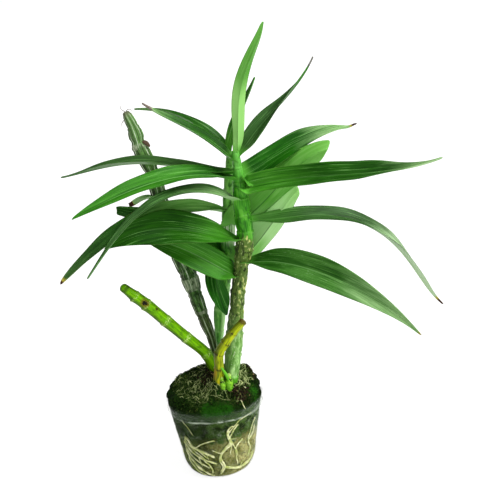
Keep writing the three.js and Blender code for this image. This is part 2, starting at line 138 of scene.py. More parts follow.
def tubeAlong(bm, path, radiusAt, columns, rows):
    # a round skin along a path or along points, closed where its radius comes to nothing
    if not callable(path):
        points = [Vector(point) for point in path]
        path = lambda s: curveAt(points, s)

    def place(around, s):
        turn = 2 * pi * around
        ahead = (path(min(1, s + 0.01)) - path(max(0, s - 0.01))).normalized()
        side = ahead.cross(Vector((0, 0.3, 1))).normalized()
        radius = radiusAt(s, turn)
        point = path(s) + (side * cos(turn) + side.cross(ahead) * sin(turn)) * radius
        return point * mm, (cos(turn), sin(turn), s), (s, radius, 0)

    rolledGrid(bm, columns, rows, place)


def addObject(name, data):
    made = bpy.data.objects.new(name, data)
    scene.collection.objects.link(made)
    return made


def meshFrom(bm, name):
    mesh = bpy.data.meshes.new(name)
    bm.to_mesh(mesh)
    bm.free()
    return mesh


def finishPiece(bm, name, node, slot, material):
    for face in bm.faces:
        face.smooth = True
    piece = addObject(name, meshFrom(bm, name))
    piece.data.materials.append(material)
    if node:
        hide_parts(node)
    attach(piece, "root")
    print("made", name, len(piece.data.polygons), "faces")
    return piece


# material makers

class Finish:
    def __init__(self, name, **constants):
        self.material = bpy.data.materials.new(name)
        self.material.use_nodes = True
        self.tree = self.material.node_tree
        self.shader = self.tree.nodes["Principled BSDF"].inputs
        for socket, value in constants.items():
            self.shader[socket.replace("_", " ")].default_value = value

    def add(self, kind, inputs, out=0, **settings):
        node = self.tree.nodes.new("ShaderNode" + kind)
        for key, value in settings.items():
            setattr(node, key, value)
        for key, value in inputs.items():
            self.feed(node.inputs[key], value)
        return node.outputs[out]

    def feed(self, socket, value):
        if isinstance(value, bpy.types.NodeSocket):
            self.tree.links.new(value, socket)
        else:
            socket.default_value = value

    def sum(self, operation, a, b=0.0, c=0.0, limit=False):
        return self.add("Math", {0: a, 1: b, 2: c}, operation=operation, use_clamp=limit)

    def times(self, a, b):
        return self.sum("MULTIPLY", a, b)

    def plus(self, a, b):
        return self.sum("ADD", a, b)

    def wander(self, value, grain, width):
        # the value, moved up or down by as much as half the width
        return self.sum("MULTIPLY_ADD", grain, width, self.plus(value, -width / 2))

    def ease(self, value, low, high, top=1.0, bottom=0.0):
        # smooth step from bottom to top while value goes from low to high
        return self.add("MapRange", {0: value, 1: low, 2: high, 3: bottom, 4: top},
                        interpolation_type="SMOOTHSTEP")

    def band(self, value, low, full, ebb, high):
        return self.times(self.ease(value, low, full), self.ease(value, high, ebb))

    def split(self, vector):
        return tuple(self.add("SeparateXYZ", {0: vector}).node.outputs)

    def attribute(self, name):
        return self.add("Attribute", {}, "Vector", attribute_name=name)

    def marks(self):
        # where on its piece a spot is, as the mesh maker marked it
        self.c, self.s, self.t = self.split(self.attribute("growth"))
        self.run, self.crest, self.ring = self.split(self.attribute("run"))
        return self

    def join(self, x, y, z):
        return self.add("CombineXYZ", {0: x, 1: y, 2: z})

    def around(self, turns, rise):
        # a place round and along the piece, on which grain runs lengthwise
        return self.join(self.times(self.c, turns), self.times(self.s, turns), self.times(self.run, rise))

    def place(self):
        return self.add("TexCoord", {}, "Object")

    def grain(self, vector, scale, detail=2.0, roughness=0.5, distortion=0.0):
        return self.add("TexNoise", {"Vector": vector, "Scale": scale, "Detail": detail,
                                     "Roughness": roughness, "Distortion": distortion})

    def blend(self, factor, a, b):
        a, b = (tint(c) if isinstance(c, str) else c for c in (a, b))
        return self.add("Mix", {0: factor, 6: a, 7: b}, 2, data_type="RGBA")

    def coats(self, colour, *coats):
        # over the first colour come coats: a colour, what it follows and, where its strength
        # is eased, from and to which value and how strong it gets
        for over, follows, *run in coats:
            colour = self.blend(self.ease(follows, *run) if run else follows, colour, over)
        return colour

    def relief(self, height, strength, distance):
        bump = self.add("Bump", {"Height": height, "Strength": strength, "Distance": distance})
        self.feed(self.shader["Normal"], bump)

    def paint(self, colour, roughness=None):
        self.feed(self.shader["Base Color"], colour)
        if roughness is not None:
            self.feed(self.shader["Roughness"], roughness)
        return self.material


# camera, light and floor

stage = {
    "place": (0.039, -0.612, 0.355), "pitch": 16.0, "roll": -5.0, "lens": 60.0, "sensor": 36.0,
    # each lamp's turn, tilt, power and softness
    "lamps": {"keyLight": (64.0, 46.0, 4.0, 36.0), "topLight": (-30.0, 80.0, 0.9, 60.0)},
    "sky": (0.14, 0.26, 1.02, 0.16),  # where its fade starts and ends, and how bright it is there
    "floorRadius": 30.0, "floorDrop": 0.0002, "floorGlow": 0.92,
}


def setStage():
    camera = addObject("camera", bpy.data.cameras.new("camera"))
    camera.data.lens = stage["lens"]
    camera.data.sensor_width = stage["sensor"]
    camera.data.clip_start = 0.01
    camera.data.clip_end = 100.0
    camera.matrix_world = (Matrix.Translation(stage["place"])
                           @ Matrix.Rotation(radians(90 - stage["pitch"]), 4, "X")
                           @ Matrix.Rotation(radians(stage["roll"]), 4, "Z"))
    scene.camera = camera
    for name, (turn, tilt, power, softness) in stage["lamps"].items():
        light = bpy.data.lights.new(name, "SUN")
        light.energy = power
        light.angle = radians(softness)
        addObject(name, light).rotation_euler = (radians(90 - tilt), 0, radians(turn))

    world = bpy.data.worlds.new("studio")
    world.use_nodes = True
    nodes, links = world.node_tree.nodes, world.node_tree.links
    place, split, fade = (nodes.new("ShaderNode" + kind) for kind in ("TexCoord", "SeparateXYZ", "MapRange"))
    links.new(place.outputs["Generated"], split.inputs[0])
    links.new(split.outputs[2], fade.inputs[0])
    for number, value in enumerate(stage["sky"], 1):
        fade.inputs[number].default_value = value
    links.new(fade.outputs[0], nodes["Background"].inputs[1])
    nodes["Background"].inputs[0].default_value = (1, 1, 1, 1)
    scene.world = world
    scene.view_settings.view_transform = "Standard"

    bm = bmesh.new()
    bmesh.ops.create_circle(bm, cap_ends=True, segments=64, radius=stage["floorRadius"])
    floor = addObject("floor", meshFrom(bm, "floor"))
    floor.location.z = -stage["floorDrop"]
    look = Finish("paleFloor", Roughness=0.9, Emission_Strength=stage["floorGlow"],
                  Emission_Color=(1, 1, 1, 1))
    floor.data.materials.append(look.paint(tint("#80807e")))
    print("stage set")


setStage()


# pot

pot = {
    "height": 63.0, "rimRadius": 37.6, "taper": 0.149, "cornerHeight": 18.0, "footRadius": 21.0,
    "wall": 0.8, "lip": 0.4, "lipHeight": 2.0, "stepDrop": 8.0, "stepDepth": 0.5,
    "drains": 5, "drainRadius": 2.0, "drainRing": 11.0,
    # each wave of the crumpled wall: its depth, how many go round, phase and twist
    "crumples": ((1.8, 2, 1.57, 0.0), (0.5, 1, 1.57, 0.0), (0.3, 5, 0.0, 0.11)), "crumpleFrom": 4.0,
    "dents": 0.18, "dentSize": 9.0, "columns": 192,
}
fillOffset = pot["wall"] + 0.3


def coneRadius(z):
    return pot["rimRadius"] - pot["taper"] * (pot["height"] - z)


def cornerReach(offset):
    return coneRadius(pot["cornerHeight"]) - pot["footRadius"] - offset


def wallRadius(z, offset):
    if z >= pot["cornerHeight"]:
        return coneRadius(z) - offset
    drop = clamp((pot["cornerHeight"] - z) / (pot["cornerHeight"] - offset))
    return pot["footRadius"] + cornerReach(offset) * sqrt(1 - drop * drop)


def onWall(angle, z, radius):
    # a point at that angle and height, in millimetres, moved with the wall as it strays from round
    rise = smooth(z, pot["crumpleFrom"], pot["height"])
    stray = rise * sum(depth * sin(waves * angle + phase + twist * z)
                       for depth, waves, phase, twist in pot["crumples"])
    dent = pot["dents"] * rough(ringPoint(angle, 30, z), pot["dentSize"])
    stray += dent * smooth(z, pot["crumpleFrom"], 20.0)
    return ringPoint(angle, radius * (1 + stray / pot["rimRadius"]), z)


def potProfile():
    # radius and height of each row, up the outside and down the inside
    height, wall, corner = pot["height"], pot["wall"], pot["cornerHeight"]
    stepZ, lipLow = height - pot["stepDrop"], height - pot["lipHeight"]
    outer = [(radius, 0.0) for radius in (0.0, 6.0, 12.0)]
    inner = [(radius, wall) for radius, _ in outer]
    for i in range(17):
        turn = i / 16 * pi / 2
        for line, offset in ((outer, 0.0), (inner, wall)):
            line.append((pot["footRadius"] + cornerReach(offset) * sin(turn),
                         corner - (corner - offset) * cos(turn)))
    plain = [mix(corner, stepZ - 1.2, i / 16) for i in range(1, 17)]
    outer += [(coneRadius(z), z) for z in plain]
    for rise, proud in ((-0.7, 0.1), (-0.3, 0.4), (0.0, 0.5), (0.5, 0.5), (0.9, 0.3), (1.4, 0.05)):
        outer.append((coneRadius(stepZ + rise) + proud * pot["stepDepth"] * 2, stepZ + rise))
    plain = [mix(stepZ + 1.4, lipLow - 0.3, i / 3) for i in range(1, 4)]
    outer += [(coneRadius(z), z) for z in plain]
    for z, share in ((lipLow, 0.3), (lipLow + 0.3, 0.85), (lipLow + 0.8, 1.0), (height - 0.5, 1.0),
                     (height - 0.15, 0.75), (height, 0.25)):
        outer.append((coneRadius(z) + share * pot["lip"], z))
    plain = [mix(corner, height - 0.1, i / 21) for i in range(1, 22)]
    inner += [(coneRadius(z) - wall, z) for z in plain]
    inner.append((coneRadius(height) - wall * 0.6, height))
    return outer + inner[::-1]


def makePot():
    profile = potProfile()
    rows = len(profile) - 1

    def place(around, along):
        radius, z = profile[round(along * rows)]
        angle = 2 * pi * around
        return onWall(angle, z, radius) * mm, ringPoint(angle, 1), (z, radius, 0)

    bm = rolledGrid(bmesh.new(), pot["columns"], rows, place)
    look = Finish("clearPlastic", Roughness=0.14, IOR=1.49, Specular_IOR_Level=0.28).marks()
    z = look.run
    haze = look.grain(look.place(), 70, 4, 0.6)
    folds = look.grain(look.around(2.2, 0.16), 1.4, 3, 0.55, 1.2)
    collar = look.ease(z, 53.2, 54.4)  # the band above the step is thicker and less clear
    clouded = look.ease(haze, 0.35, 0.7)
    # Painted highlights: a pale line along the step ring, thin pale streaks along the folds and pale fold
    # marks round the right side, where the light falls. Where they lie, the wall is also painted less clear.
    step = look.times(look.band(z, 53.4, 54.2, 54.6, 55.6), look.ease(folds, 0.4, 0.6))
    streak = look.times(look.band(folds, 0.56, 0.585, 0.59, 0.62), 0.35)
    paintedRightHighlight = look.times(look.ease(look.c, 0.72, 0.97), look.ease(folds, 0.42, 0.6))
    paintedHighlight = look.sum("MAXIMUM", look.sum("MAXIMUM", step, streak), look.times(paintedRightHighlight, 0.5))
    colour = look.coats("#24380e", ("#4f6c30", clouded), ("#3c5434", collar), ("#cfdcc6", paintedHighlight))
    cover = look.sum("MULTIPLY_ADD", collar, 0.13, look.sum("MULTIPLY_ADD", clouded, 0.05, 0.05))
    cover = look.sum("MULTIPLY_ADD", paintedHighlight, 0.34, cover, limit=True)
    lip = look.ease(z, 60.8, 61.6, 0.25, 1.0)  # the clearest part
    look.feed(look.shader["Alpha"], look.times(cover, lip))
    look.relief(look.plus(haze, look.times(folds, 0.8)), 0.2, 0.0006)
    piece = finishPiece(bm, "potShell", "clear_pot", "clear_plastic", look.paint(colour))

    # drain holes through the flat foot
    cutter = bmesh.new()
    for i in range(pot["drains"]):
        at = ringPoint(2 * pi * i / pot["drains"], pot["drainRing"]) * mm
        bmesh.ops.create_cone(cutter, cap_ends=True, segments=24, radius1=pot["drainRadius"] * mm,
                              radius2=pot["drainRadius"] * mm, depth=6 * pot["wall"] * mm,
                              matrix=Matrix.Translation(at))
    tool = addObject("drainCutter", meshFrom(cutter, "drainCutter"))
    cut = piece.modifiers.new("drains", "BOOLEAN")
    cut.operation, cut.solver, cut.object = "DIFFERENCE", "EXACT", tool
    drilled = bpy.data.meshes.new_from_object(piece.evaluated_get(bpy.context.evaluated_depsgraph_get()))
    piece.modifiers.clear()
    piece.data = drilled
    bpy.data.objects.remove(tool)
    drilled.shade_smooth()


makePot()


# the roots' routes, which the filling leaves grooves for

roots = {
    "gap": 0.35, "rhizomeRadius": 4.0,
    "rhizome": ((4, 21, 61), (7, 13, 61.5), (4, 5, 61.5), (14, -2, 61.5), (6, -11, 61.5), (9, -17, 61)),
    # each root: the thickness, then stops down the wall as angle round the pot and height
    "strands": (
        (1.9, (214, 38), (224, 35), (228, 31), (237, 28.5), (248, 26.5), (258, 24), (265, 22)),
        (1.5, (211, 34), (219, 29), (227, 25), (238, 22), (249, 19.5), (260, 17.5), (268, 16)),
        (1.6, (210, 27), (217, 20), (226, 16), (233, 13), (242, 9.5), (252, 5.5), (262, 3)),
        (1.2, (214, 19), (220, 14), (226, 11), (231, 7), (244, 3.5)),
        (1.7, (294, 46), (288, 42), (289, 37), (291, 32), (284, 29), (276, 25), (274, 20.5), (278, 15.5),
         (279, 12.5), (275, 8.5), (270, 4)),
        (1.1, (305, 49.5), (299, 46.5), (294, 42.5), (290, 37.5), (293, 33.5), (296, 29), (300, 23.5),
         (299, 18), (302, 11)),
        (1.1, (298, 49), (291, 47), (286.5, 43.5), (287, 39), (289.5, 34), (282, 30), (275, 25), (272, 19),
         (276, 13), (270, 7)),
        (0.8, (327, 54.5), (315, 53.5), (305, 52), (299, 49), (293, 45.5), (288, 42)),
        (2.1, (278, 13), (291, 10), (305, 8), (318, 8.5), (330, 9.5), (340, 16)),
        (1.2, (336, 42), (332, 34), (326, 31), (322, 28), (328, 21), (322, 14.5)),
        (1.0, (336, 47), (333, 45), (329, 42), (326, 37.5), (321, 31), (326, 24)),
        (1.2, (311, 34), (303, 31), (298, 27), (299, 22)),
        (0.8, (236, 29.5), (247, 34), (260, 37), (268, 38)),
        (0.9, (246, 20), (250, 17.5), (255, 15.5), (259, 10.5), (258, 6)),
        (1.1, (238, 29), (247, 24.5), (253, 21.5)),
        (0.45, (222, 54), (226, 51), (230, 48.5), (236, 42)),
        (1.0, (212, 30), (219, 24.5), (228, 20), (237, 17), (247, 14.5), (256, 12)),
        (0.9, (215, 23), (222, 17.5), (230, 14), (238, 10), (248, 7.5)),
        (0.8, (215, 36), (223, 31.5), (233, 27), (243, 23), (251, 19)),
        (2.2, (52, 47), (63, 34), (58, 21), (70, 9)),
        (2.0, (118, 48), (104, 35), (112, 22), (98, 8)),
        (1.7, (160, 44), (149, 33), (155, 22), (142, 12), (150, 6)),
        (1.5, (20, 50), (12, 38), (24, 27), (10, 14), (20, 7)),
        (1.4, (84, 38), (92, 30), (80, 20), (64, 14)),
        (1.2, (186, 40), (178, 28), (188, 17), (176, 8)),
    ),
    # fine side roots: the root that each leaves, its share, then end angle, end height and thickness
    "branches": ((0, 0.75, 255, 20, 0.9), (1, 0.5, 243, 13, 0.9), (4, 0.2, 300, 36, 0.9),
                 (5, 0.5, 288, 22, 0.9), (8, 0.4, 312, 17, 1.0), (4, 0.5, 262, 29, 0.9),
                 (2, 0.4, 238, 8, 0.8), (17, 0.4, 122, 24, 1.0)),
    # broken ends of old roots that lie on the moss: place, heading, length and thickness
    "bits": ((19.0, 0.0, -45, 12.0, 0.5), (22.6, -10.5, -33, 6.5, 0.7), (20.7, -23.5, -39, 5.5, 0.7),
             (17.5, 4.0, -57, 8.0, 0.45), (24.5, 2.0, -63, 6.7, 0.6), (24.0, -3.0, -30, 6.0, 0.5)),
}


def underWall(degreesRound, z, gap, thickness):
    return onWall(radians(degreesRound), z, wallRadius(z, pot["wall"] + gap + thickness / 2))


def rootRoute(thickness, *stops):
    # from a share of the way down a root to a point under the pot's wall
    wallStops = [Vector((angle, z, 0)) for angle, z in stops]

    def hug(share):
        stop = curveAt(wallStops, share)
        return underWall(stop.x, stop.y, roots["gap"], thickness)

    return hug, thickness


rootRoutes = [rootRoute(*strand) for strand in roots["strands"]]
grooveMarks = [(hug(i / 60), thickness) for hug, thickness in rootRoutes for i in range(61)]
grooves = kdtree.KDTree(len(grooveMarks))
for number, (point, _) in enumerate(grooveMarks):
    grooves.insert(point, number)
grooves.balance()


# what fills the pot

fill = {
    "shoulder": 60.0, "reach": 35.5, "dome": 15.5, "domeEdge": 11, "lean": 0.17, "settled": 2.6,
    # tufts and heaps: place, spread and height
    "tufts": ((31.0, 12.0, 9.0, 9.5), (-31.0, 4.0, 9.0, 4.5), (-3.0, 1.0, 8.0, 8.0), (2.0, -10.0, 6.0, 6.0)),
    "heaps": ((3.0, -16.5, 3.0, 6.0), (14.0, -19.0, 3.6, -5.0), (9.5, -22.0, 3.0, -3.0),
              (24.0, -12.0, 5.0, 1.5), (34.0, 9.0, 4.0, 3.0), (-8.0, 12.0, 6.0, 2.0)),
    "tuftEdge": 14, "lumps": 30, "lumpReach": 33.0, "lumpSpread": (3.5, 7.0), "lumpHeight": (-0.8, 2.2),
    "clumps": ((7.0, 1.4), (3.2, 1.2), (1.5, 0.7)),  # size and height of the moss's own lumps
    # where moss leans over the rim: angle, width and how far
    "spills": ((202.0, 27.0, 2.6), (165.0, 26.0, 1.6), (350.0, 24.0, 3.6), (22.0, 27.0, 3.6)),
    "columns": 280, "sideRows": 50, "topRows": 100,
    # patches of colour: place and spread
    "green": ((4, -32.5, 6.5), (12, -31, 3.5), (-5, -32.5, 4.5), (31, -12, 5), (-24, 12, 5)),
    "brown": ((17, -13, 3.5), (23, -19, 5), (27, -15, 3.5), (-1, -3, 6), (33, 11, 6)),
}


def drawLumps():
    # the solid model draws its lumps by the same rule
    state = 7
    draws = []
    for _ in range(4 * fill["lumps"]):
        state = (state * 1664525 + 1013904223) % 4294967296
        draws.append(state / 4294967296)
    for angle, reach, spread, height in zip(*[iter(draws)] * 4):
        at = ringPoint(2 * pi * angle, fill["lumpReach"] * sqrt(reach))
        yield at.x, at.y, mix(*fill["lumpSpread"], spread), mix(*fill["lumpHeight"], height)


mossLumps = list(fill["tufts"]) + list(drawLumps())


def mossHeight(x, y):
    out = hypot(x, y)
    share = min(1.0, out / fill["reach"])
    z = fill["shoulder"] + (fill["dome"] + fill["lean"] * y) * (1 - share ** fill["domeEdge"])
    for lumpX, lumpY, spread, height in mossLumps:
        z += height * hump(hypot(x - lumpX, y - lumpY), spread) * (1 - share ** fill["tuftEdge"])
    z -= fill["settled"] * (1 - smooth(out, 29.0, 35.0))
    inside = 1 - smooth(out, 30.0, 36.0) * 0.7
    for heapX, heapY, spread, height in fill["heaps"]:
        z += height * hump(hypot(x - heapX, y - heapY), spread) * inside
    for size, height in fill["clumps"]:
        z += height * rough((x, y, 0.3 * z), size, size) * inside
    return z


def patchAt(x, y, colour):
    return clamp(sum(hump(hypot(x - px, y - py), spread) for px, py, spread in fill[colour]))


def fillSide(angle, share):
    # the filling's foot and side, as grooves and pits show it through the wall
    turn = (share - 0.2) / 0.8
    z = mix(fillOffset, fill["shoulder"], turn ** 1.3) if turn >= 0 else fillOffset
    radius = wallRadius(z, fillOffset) if turn >= 0 else pot["footRadius"] * share / 0.2
    point = onWall(angle, z, radius)
    _, mark, away = grooves.find(point)
    groove = 1.5 * (1 - smooth(away - grooveMarks[mark][1] / 2, 0.2, 1.6))
    pit = clamp(0.35 + 0.4 * rough(point, 4.0) + 0.3 * rough(point, 1.6), 0.05, 1.0)
    radius -= (pit + groove) * smooth(share, 0.2, 0.3) * (1 - smooth(share, 0.93, 1.0))
    return onWall(angle, z, radius), radius


def fillTop(angle, share):
    # the mound from its ragged edge inwards, swollen and leaning over the rim in places
    radius = wallRadius(fill["shoulder"], fillOffset) * (1 - share ** 0.8)
    ragged = 0.9 + 1.2 * rough(ringPoint(angle, 36, share * 20), 3.0, 9)
    radius -= ragged * smooth(share, 0.0, 0.01) * (1 - smooth(share, 0.1, 0.3))
    point = onWall(angle, fill["shoulder"], radius)
    point.z = mossHeight(point.x, point.y)
    swell = 1.9 * rough(point, 4.4, 5) + 0.9 * rough(point, 1.8, 8)
    spill = smooth(point.z, 63.4, 64.6) * (1 - smooth(point.z, 69, 74))
    swell += spill * sum(out * hump(degrees(angle) - at, wide) for at, wide, out in fill["spills"])
    swell *= smooth(share, 0.0, 0.02) * (1 - smooth(share, 0.3, 0.5))
    return point + Vector((point.x, point.y, 0)).normalized() * swell, radius


def makeFill():
    sideRows, topRows = fill["sideRows"], fill["topRows"]

    def place(around, along):
        row = round(along * (sideRows + topRows))
        angle = 2 * pi * around
        if row <= sideRows:
            point, radius = fillSide(angle, row / sideRows)
        else:
            point, radius = fillTop(angle, (row - sideRows) / topRows)
        marks = (patchAt(point.x, point.y, "green"), patchAt(point.x, point.y, "brown"), 0)
        return point * mm, marks, (point.z, radius, 0)

    bm = rolledGrid(bmesh.new(), fill["columns"], sideRows + topRows, place)
    look = Finish("mossAndBark", Roughness=0.9, Specular_IOR_Level=0.04).marks()
    green, brown, z = look.c, look.s, look.run
    spot = look.place()
    coarse = look.grain(spot, 160, 4, 0.6)
    fine = look.grain(spot, 900, 3, 0.6)
    fibre = look.grain(spot, 420, 5, 0.7, 1.6)
    fresh = look.coats("#0f3504", ("#27640f", fine, 0.3, 0.65))
    dead = look.coats("#080603", ("#33291a", fine, 0.4, 0.66))
    moss = look.coats(
        "#030801",
        ("#1a3509", fine, 0.38, 0.66),
        ("#6f8c38", fibre, 0.6, 0.7, 0.4),
        (fresh, look.times(green, look.ease(coarse, 0.25, 0.5))),
        (dead, look.times(brown, look.ease(coarse, 0.35, 0.55))),
    )
    paintedLightRight = look.ease(look.split(spot)[0], -0.02, 0.028)  # paler round to the right, where the light falls: painted light
    upper = look.coats(
        "#0a1404",
        ("#22380c", coarse, 0.4, 0.65),
        # painted light: paler green on the lit right side
        ("#4e6a30", look.times(paintedLightRight, look.ease(coarse, 0.35, 0.6))),
    )
    dry = look.coats("#858a42", ("#cfcb88", coarse, 0.34, 0.6), ("#a08a58", fine, 0.5, 0.64))
    side = look.coats(
        "#1f290c",
        ("#5a6428", coarse, 0.36, 0.62),
        # painted light: pale tan laid over the lit right side
        (dry, look.times(paintedLightRight, 0.9)),
        ("#2c3815", fibre, 0.52, 0.66),
        (upper, look.wander(z, coarse, 30.0), 32, 40),
        (moss, z, 57.5, 60.5),
    )
    look.relief(look.plus(fine, fibre), 0.8, 0.0016)
    finishPiece(bm, "mossMound", "growing_medium", "moss", look.paint(side))


makeFill()


mossTips = {"count": 10000, "length": (0.9, 2.5), "width": (0.18, 0.36), "spread": 0.9, "reach": 35.4,
            "seed": 11}


def makeMossTips():
    draw = random.Random(mossTips["seed"])
    tips = []
    for _ in range(mossTips["count"]):
        angle = draw.uniform(0, 2 * pi)
        root = ringPoint(angle, mossTips["reach"] * draw.random() ** 0.36)
        lean = Vector((draw.gauss(0, 1), draw.gauss(0, 1), 0)) * mossTips["spread"]
        lean = (lean + root / mossTips["reach"] * 0.5 + Vector((0, 0, 1))).normalized()
        green = patchAt(root.x, root.y, "green") - patchAt(root.x, root.y, "brown")
        root.z = mossHeight(root.x, root.y) - 0.5
        tips.append((root, lean, draw.uniform(*mossTips["length"]), draw.uniform(*mossTips["width"]),
                     draw.uniform(0.1, 0.7), draw.random(), green))

    def place(strand, turn, along):
        root, lean, length, width, droop, tone, green = tips[strand]
        side = lean.cross(Vector((0, 0, 1)))
        side = side.normalized() if side.length > 1e-3 else Vector((1, 0, 0))
        swell = width * sin(pi * min(1, 0.06 + 0.94 * along)) if 0 < along < 1 else 0.0
        point = root + lean * length * along
        point.z -= droop * length * along * along * 0.5
        point += side * swell * cos(turn) + side.cross(lean) * swell * 0.35 * sin(turn)
        return point * mm, (tone, along, green)

    look = Finish("mossLeaf", Roughness=0.75, Specular_IOR_Level=0.06).marks()
    tone, along, green = look.c, look.s, look.t
    fresh = look.coats("#0f3a05", ("#2c7014", tone))
    brown = look.coats("#0c0905", ("#463a22", tone))
    colour = look.coats(
        "#040c02",
        ("#1c3a0b", tone),
        ("#8a9c45", tone, 0.8, 1.0),
        (fresh, green, 0.25, 0.75),
        (brown, green, -0.2, -0.6),
        ("#5f8434", look.times(along, 0.12)),
    )
    bm = manyStrands(mossTips["count"], 3, 3, place)
    finishPiece(bm, "mossTips", None, "moss", look.paint(colour))


makeMossTips()


mossFibres = {"count": 1500, "length": (2.5, 12.0), "thickness": (0.12, 0.28), "curl": 1.8, "seed": 23,
              "reach": 32, "steps": 6, "drift": (22.0, -1.0, 6.0), "driftShare": 0.16}


def makeFibres():
    draw = random.Random(mossFibres["seed"])
    fibres = []
    for _ in range(mossFibres["count"]):
        angle = draw.uniform(0, 2 * pi)
        start = ringPoint(angle, mossFibres["reach"] * sqrt(draw.random()))
        drifted = draw.random() < mossFibres["driftShare"]
        if drifted:
            # dead roots and straw lie thick on the right
            driftX, driftY, spread = mossFibres["drift"]
            start = Vector((driftX + draw.gauss(0, spread), driftY + draw.gauss(0, spread), 0))
        heading, length = draw.uniform(0, 6.28), draw.uniform(*mossFibres["length"])
        bend, lift = draw.gauss(0, mossFibres["curl"]), draw.uniform(0.2, 1.8)
        thick = draw.uniform(*mossFibres["thickness"]) / 2
        tone = draw.uniform(0.45 if drifted else 0.0, 1.0)
        if drifted:
            thick *= mix(1, 2, smooth(tone, 0.88, 0.94))
        tone *= 1 - patchAt(start.x, start.y, "green")
        fibres.append((start, heading, length, bend, lift, thick, tone))

    def pathAt(fibre, along):
        start, heading, length, bend, lift, _, _ = fibre
        steps = mossFibres["steps"]
        point = start.copy()
        for i in range(steps):
            step = length / steps * clamp(along * steps - i)
            point += ringPoint(heading + bend * (i / steps - 0.5), step)
        point *= min(1, (mossFibres["reach"] + 0.5) / max(point.length, 1e-6))
        point.z = mossHeight(point.x, point.y) + lift * sin(pi * (0.1 + 0.8 * along)) - 0.2
        return point

    def place(strand, turn, along):
        fibre = fibres[strand]
        ahead = (pathAt(fibre, min(1, along + 0.05)) - pathAt(fibre, max(0, along - 0.05))).normalized()
        side = ahead.cross(Vector((0, 0, 1))).normalized()
        radius = fibre[5] if 0 < along < 1 else 0.0
        point = pathAt(fibre, along) + (side * cos(turn) + side.cross(ahead) * sin(turn)) * radius
        return point * mm, (fibre[6], along, 0)

    look = Finish("strawFibre", Roughness=0.6, Specular_IOR_Level=0.1).marks()
    colour = look.coats("#0a1804", ("#4f6c22", look.c), ("#d6e29c", look.c, 0.7, 0.95))
    bm = manyStrands(mossFibres["count"], 4, 9, place)
    finishPiece(bm, "mossFibres", None, "moss", look.paint(colour))


makeFibres()


barkCrumbs = {"count": 420, "size": (0.4, 1.3), "reach": 33, "seed": 31}


def makeCrumbs():
    draw = random.Random(barkCrumbs["seed"])
    crumbs = []
    for _ in range(barkCrumbs["count"]):
        px, py, spread = draw.choice(fill["brown"])
        at = Vector((px + draw.gauss(0, spread * 0.6), py + draw.gauss(0, spread * 0.6), 0))
        at /= max(1.0, at.length / barkCrumbs["reach"])
        size = draw.uniform(*barkCrumbs["size"])
        at.z = mossHeight(at.x, at.y) + 0.4 * size
        crumbs.append((at, size, draw.uniform(0.4, 0.9), draw.uniform(0, 6.28), draw.random()))

    def place(strand, turn, along):
        at, size, flat, tip, tone = crumbs[strand]
        swell = sin(pi * along) * (1 + 0.3 * sin(2 * turn + tip)) if 0 < along < 1 else 0.0
        body = Vector((cos(turn) * swell, sin(turn) * swell * flat, -cos(pi * along)))
        tipped = Matrix.Rotation(tip, 3, "Z") @ Matrix.Rotation(tip * 3, 3, "X") @ body
        return (at + tipped * size) * mm, (tone, along, 0)

    look = Finish("barkCrumb", Roughness=0.85, Specular_IOR_Level=0.1).marks()
    colour = look.coats("#080503", ("#2f2112", look.c), ("#a08c5c", look.c, 0.9, 1.0))
    bm = manyStrands(barkCrumbs["count"], 6, 4, place)
    finishPiece(bm, "barkCrumbs", None, "moss", look.paint(colour))


makeCrumbs()


# rhizome and roots

def rounded(s, power=12):
    return sqrt(clamp(1 - (2 * s - 1) ** power))


def makeRoots():
    bm = bmesh.new()
    tubeAlong(bm, roots["rhizome"],
              lambda s, turn: roots["rhizomeRadius"] * rounded(s) * (1 + 0.08 * sin(60 * s)), 20, 60)
    for hug, thickness in rootRoutes:
        def path(s):
            # both ends sink into the filling
            point = hug(s)
            sunk = 2.5 * thickness * (hump(s, 0.03) + hump(1 - s, 0.03))
            return point * (1 - sunk / hypot(point.x, point.y))

        def wobble(s, turn):
            uneven = 1 + 0.12 * sin(23 * s + thickness * 9) + 0.05 * sin(3 * turn + 40 * s)
            return thickness / 2 * rounded(s) * uneven

        tubeAlong(bm, path, wobble, 14, 90)
    for root, share, angle, z, thickness in roots["branches"]:
        first = rootRoutes[root][0](share)
        last = underWall(angle, z, 0.3, thickness)
        middle = (first + last) / 2
        middle = underWall(degrees(atan2(middle.y, middle.x)), middle.z, 0.3, thickness)
        tubeAlong(bm, (first, middle, last),
                  lambda s, turn: thickness / 2 * rounded(s) * (1.05 - 0.5 * s), 8, 24)
    for x, y, heading, length, thickness in roots["bits"]:
        stops = []
        for share, lift in ((0, -0.3), (0.33, 0.6), (0.67, 0.9), (1, 0.1)):
            stop = Vector((x, y, 0)) + ringPoint(radians(heading), length * share)
            stop.z = mossHeight(stop.x, stop.y) + lift
            stops.append(stop)
        tubeAlong(bm, stops, lambda s, turn: thickness / 2 * rounded(s), 8, 20)
    look = Finish("rootSkin", Roughness=0.5, Specular_IOR_Level=0.2)
    spot = look.place()
    colour = look.coats("#bac56e", ("#f6f6c2", look.grain(spot, 260, 3, 0.6), 0.35, 0.65))
    look.relief(look.grain(spot, 1400, 3), 0.4, 0.0004)
    finishPiece(bm, "rootRun", "rhizome_and_roots", "root", look.paint(colour))


makeRoots()


# canes and buds

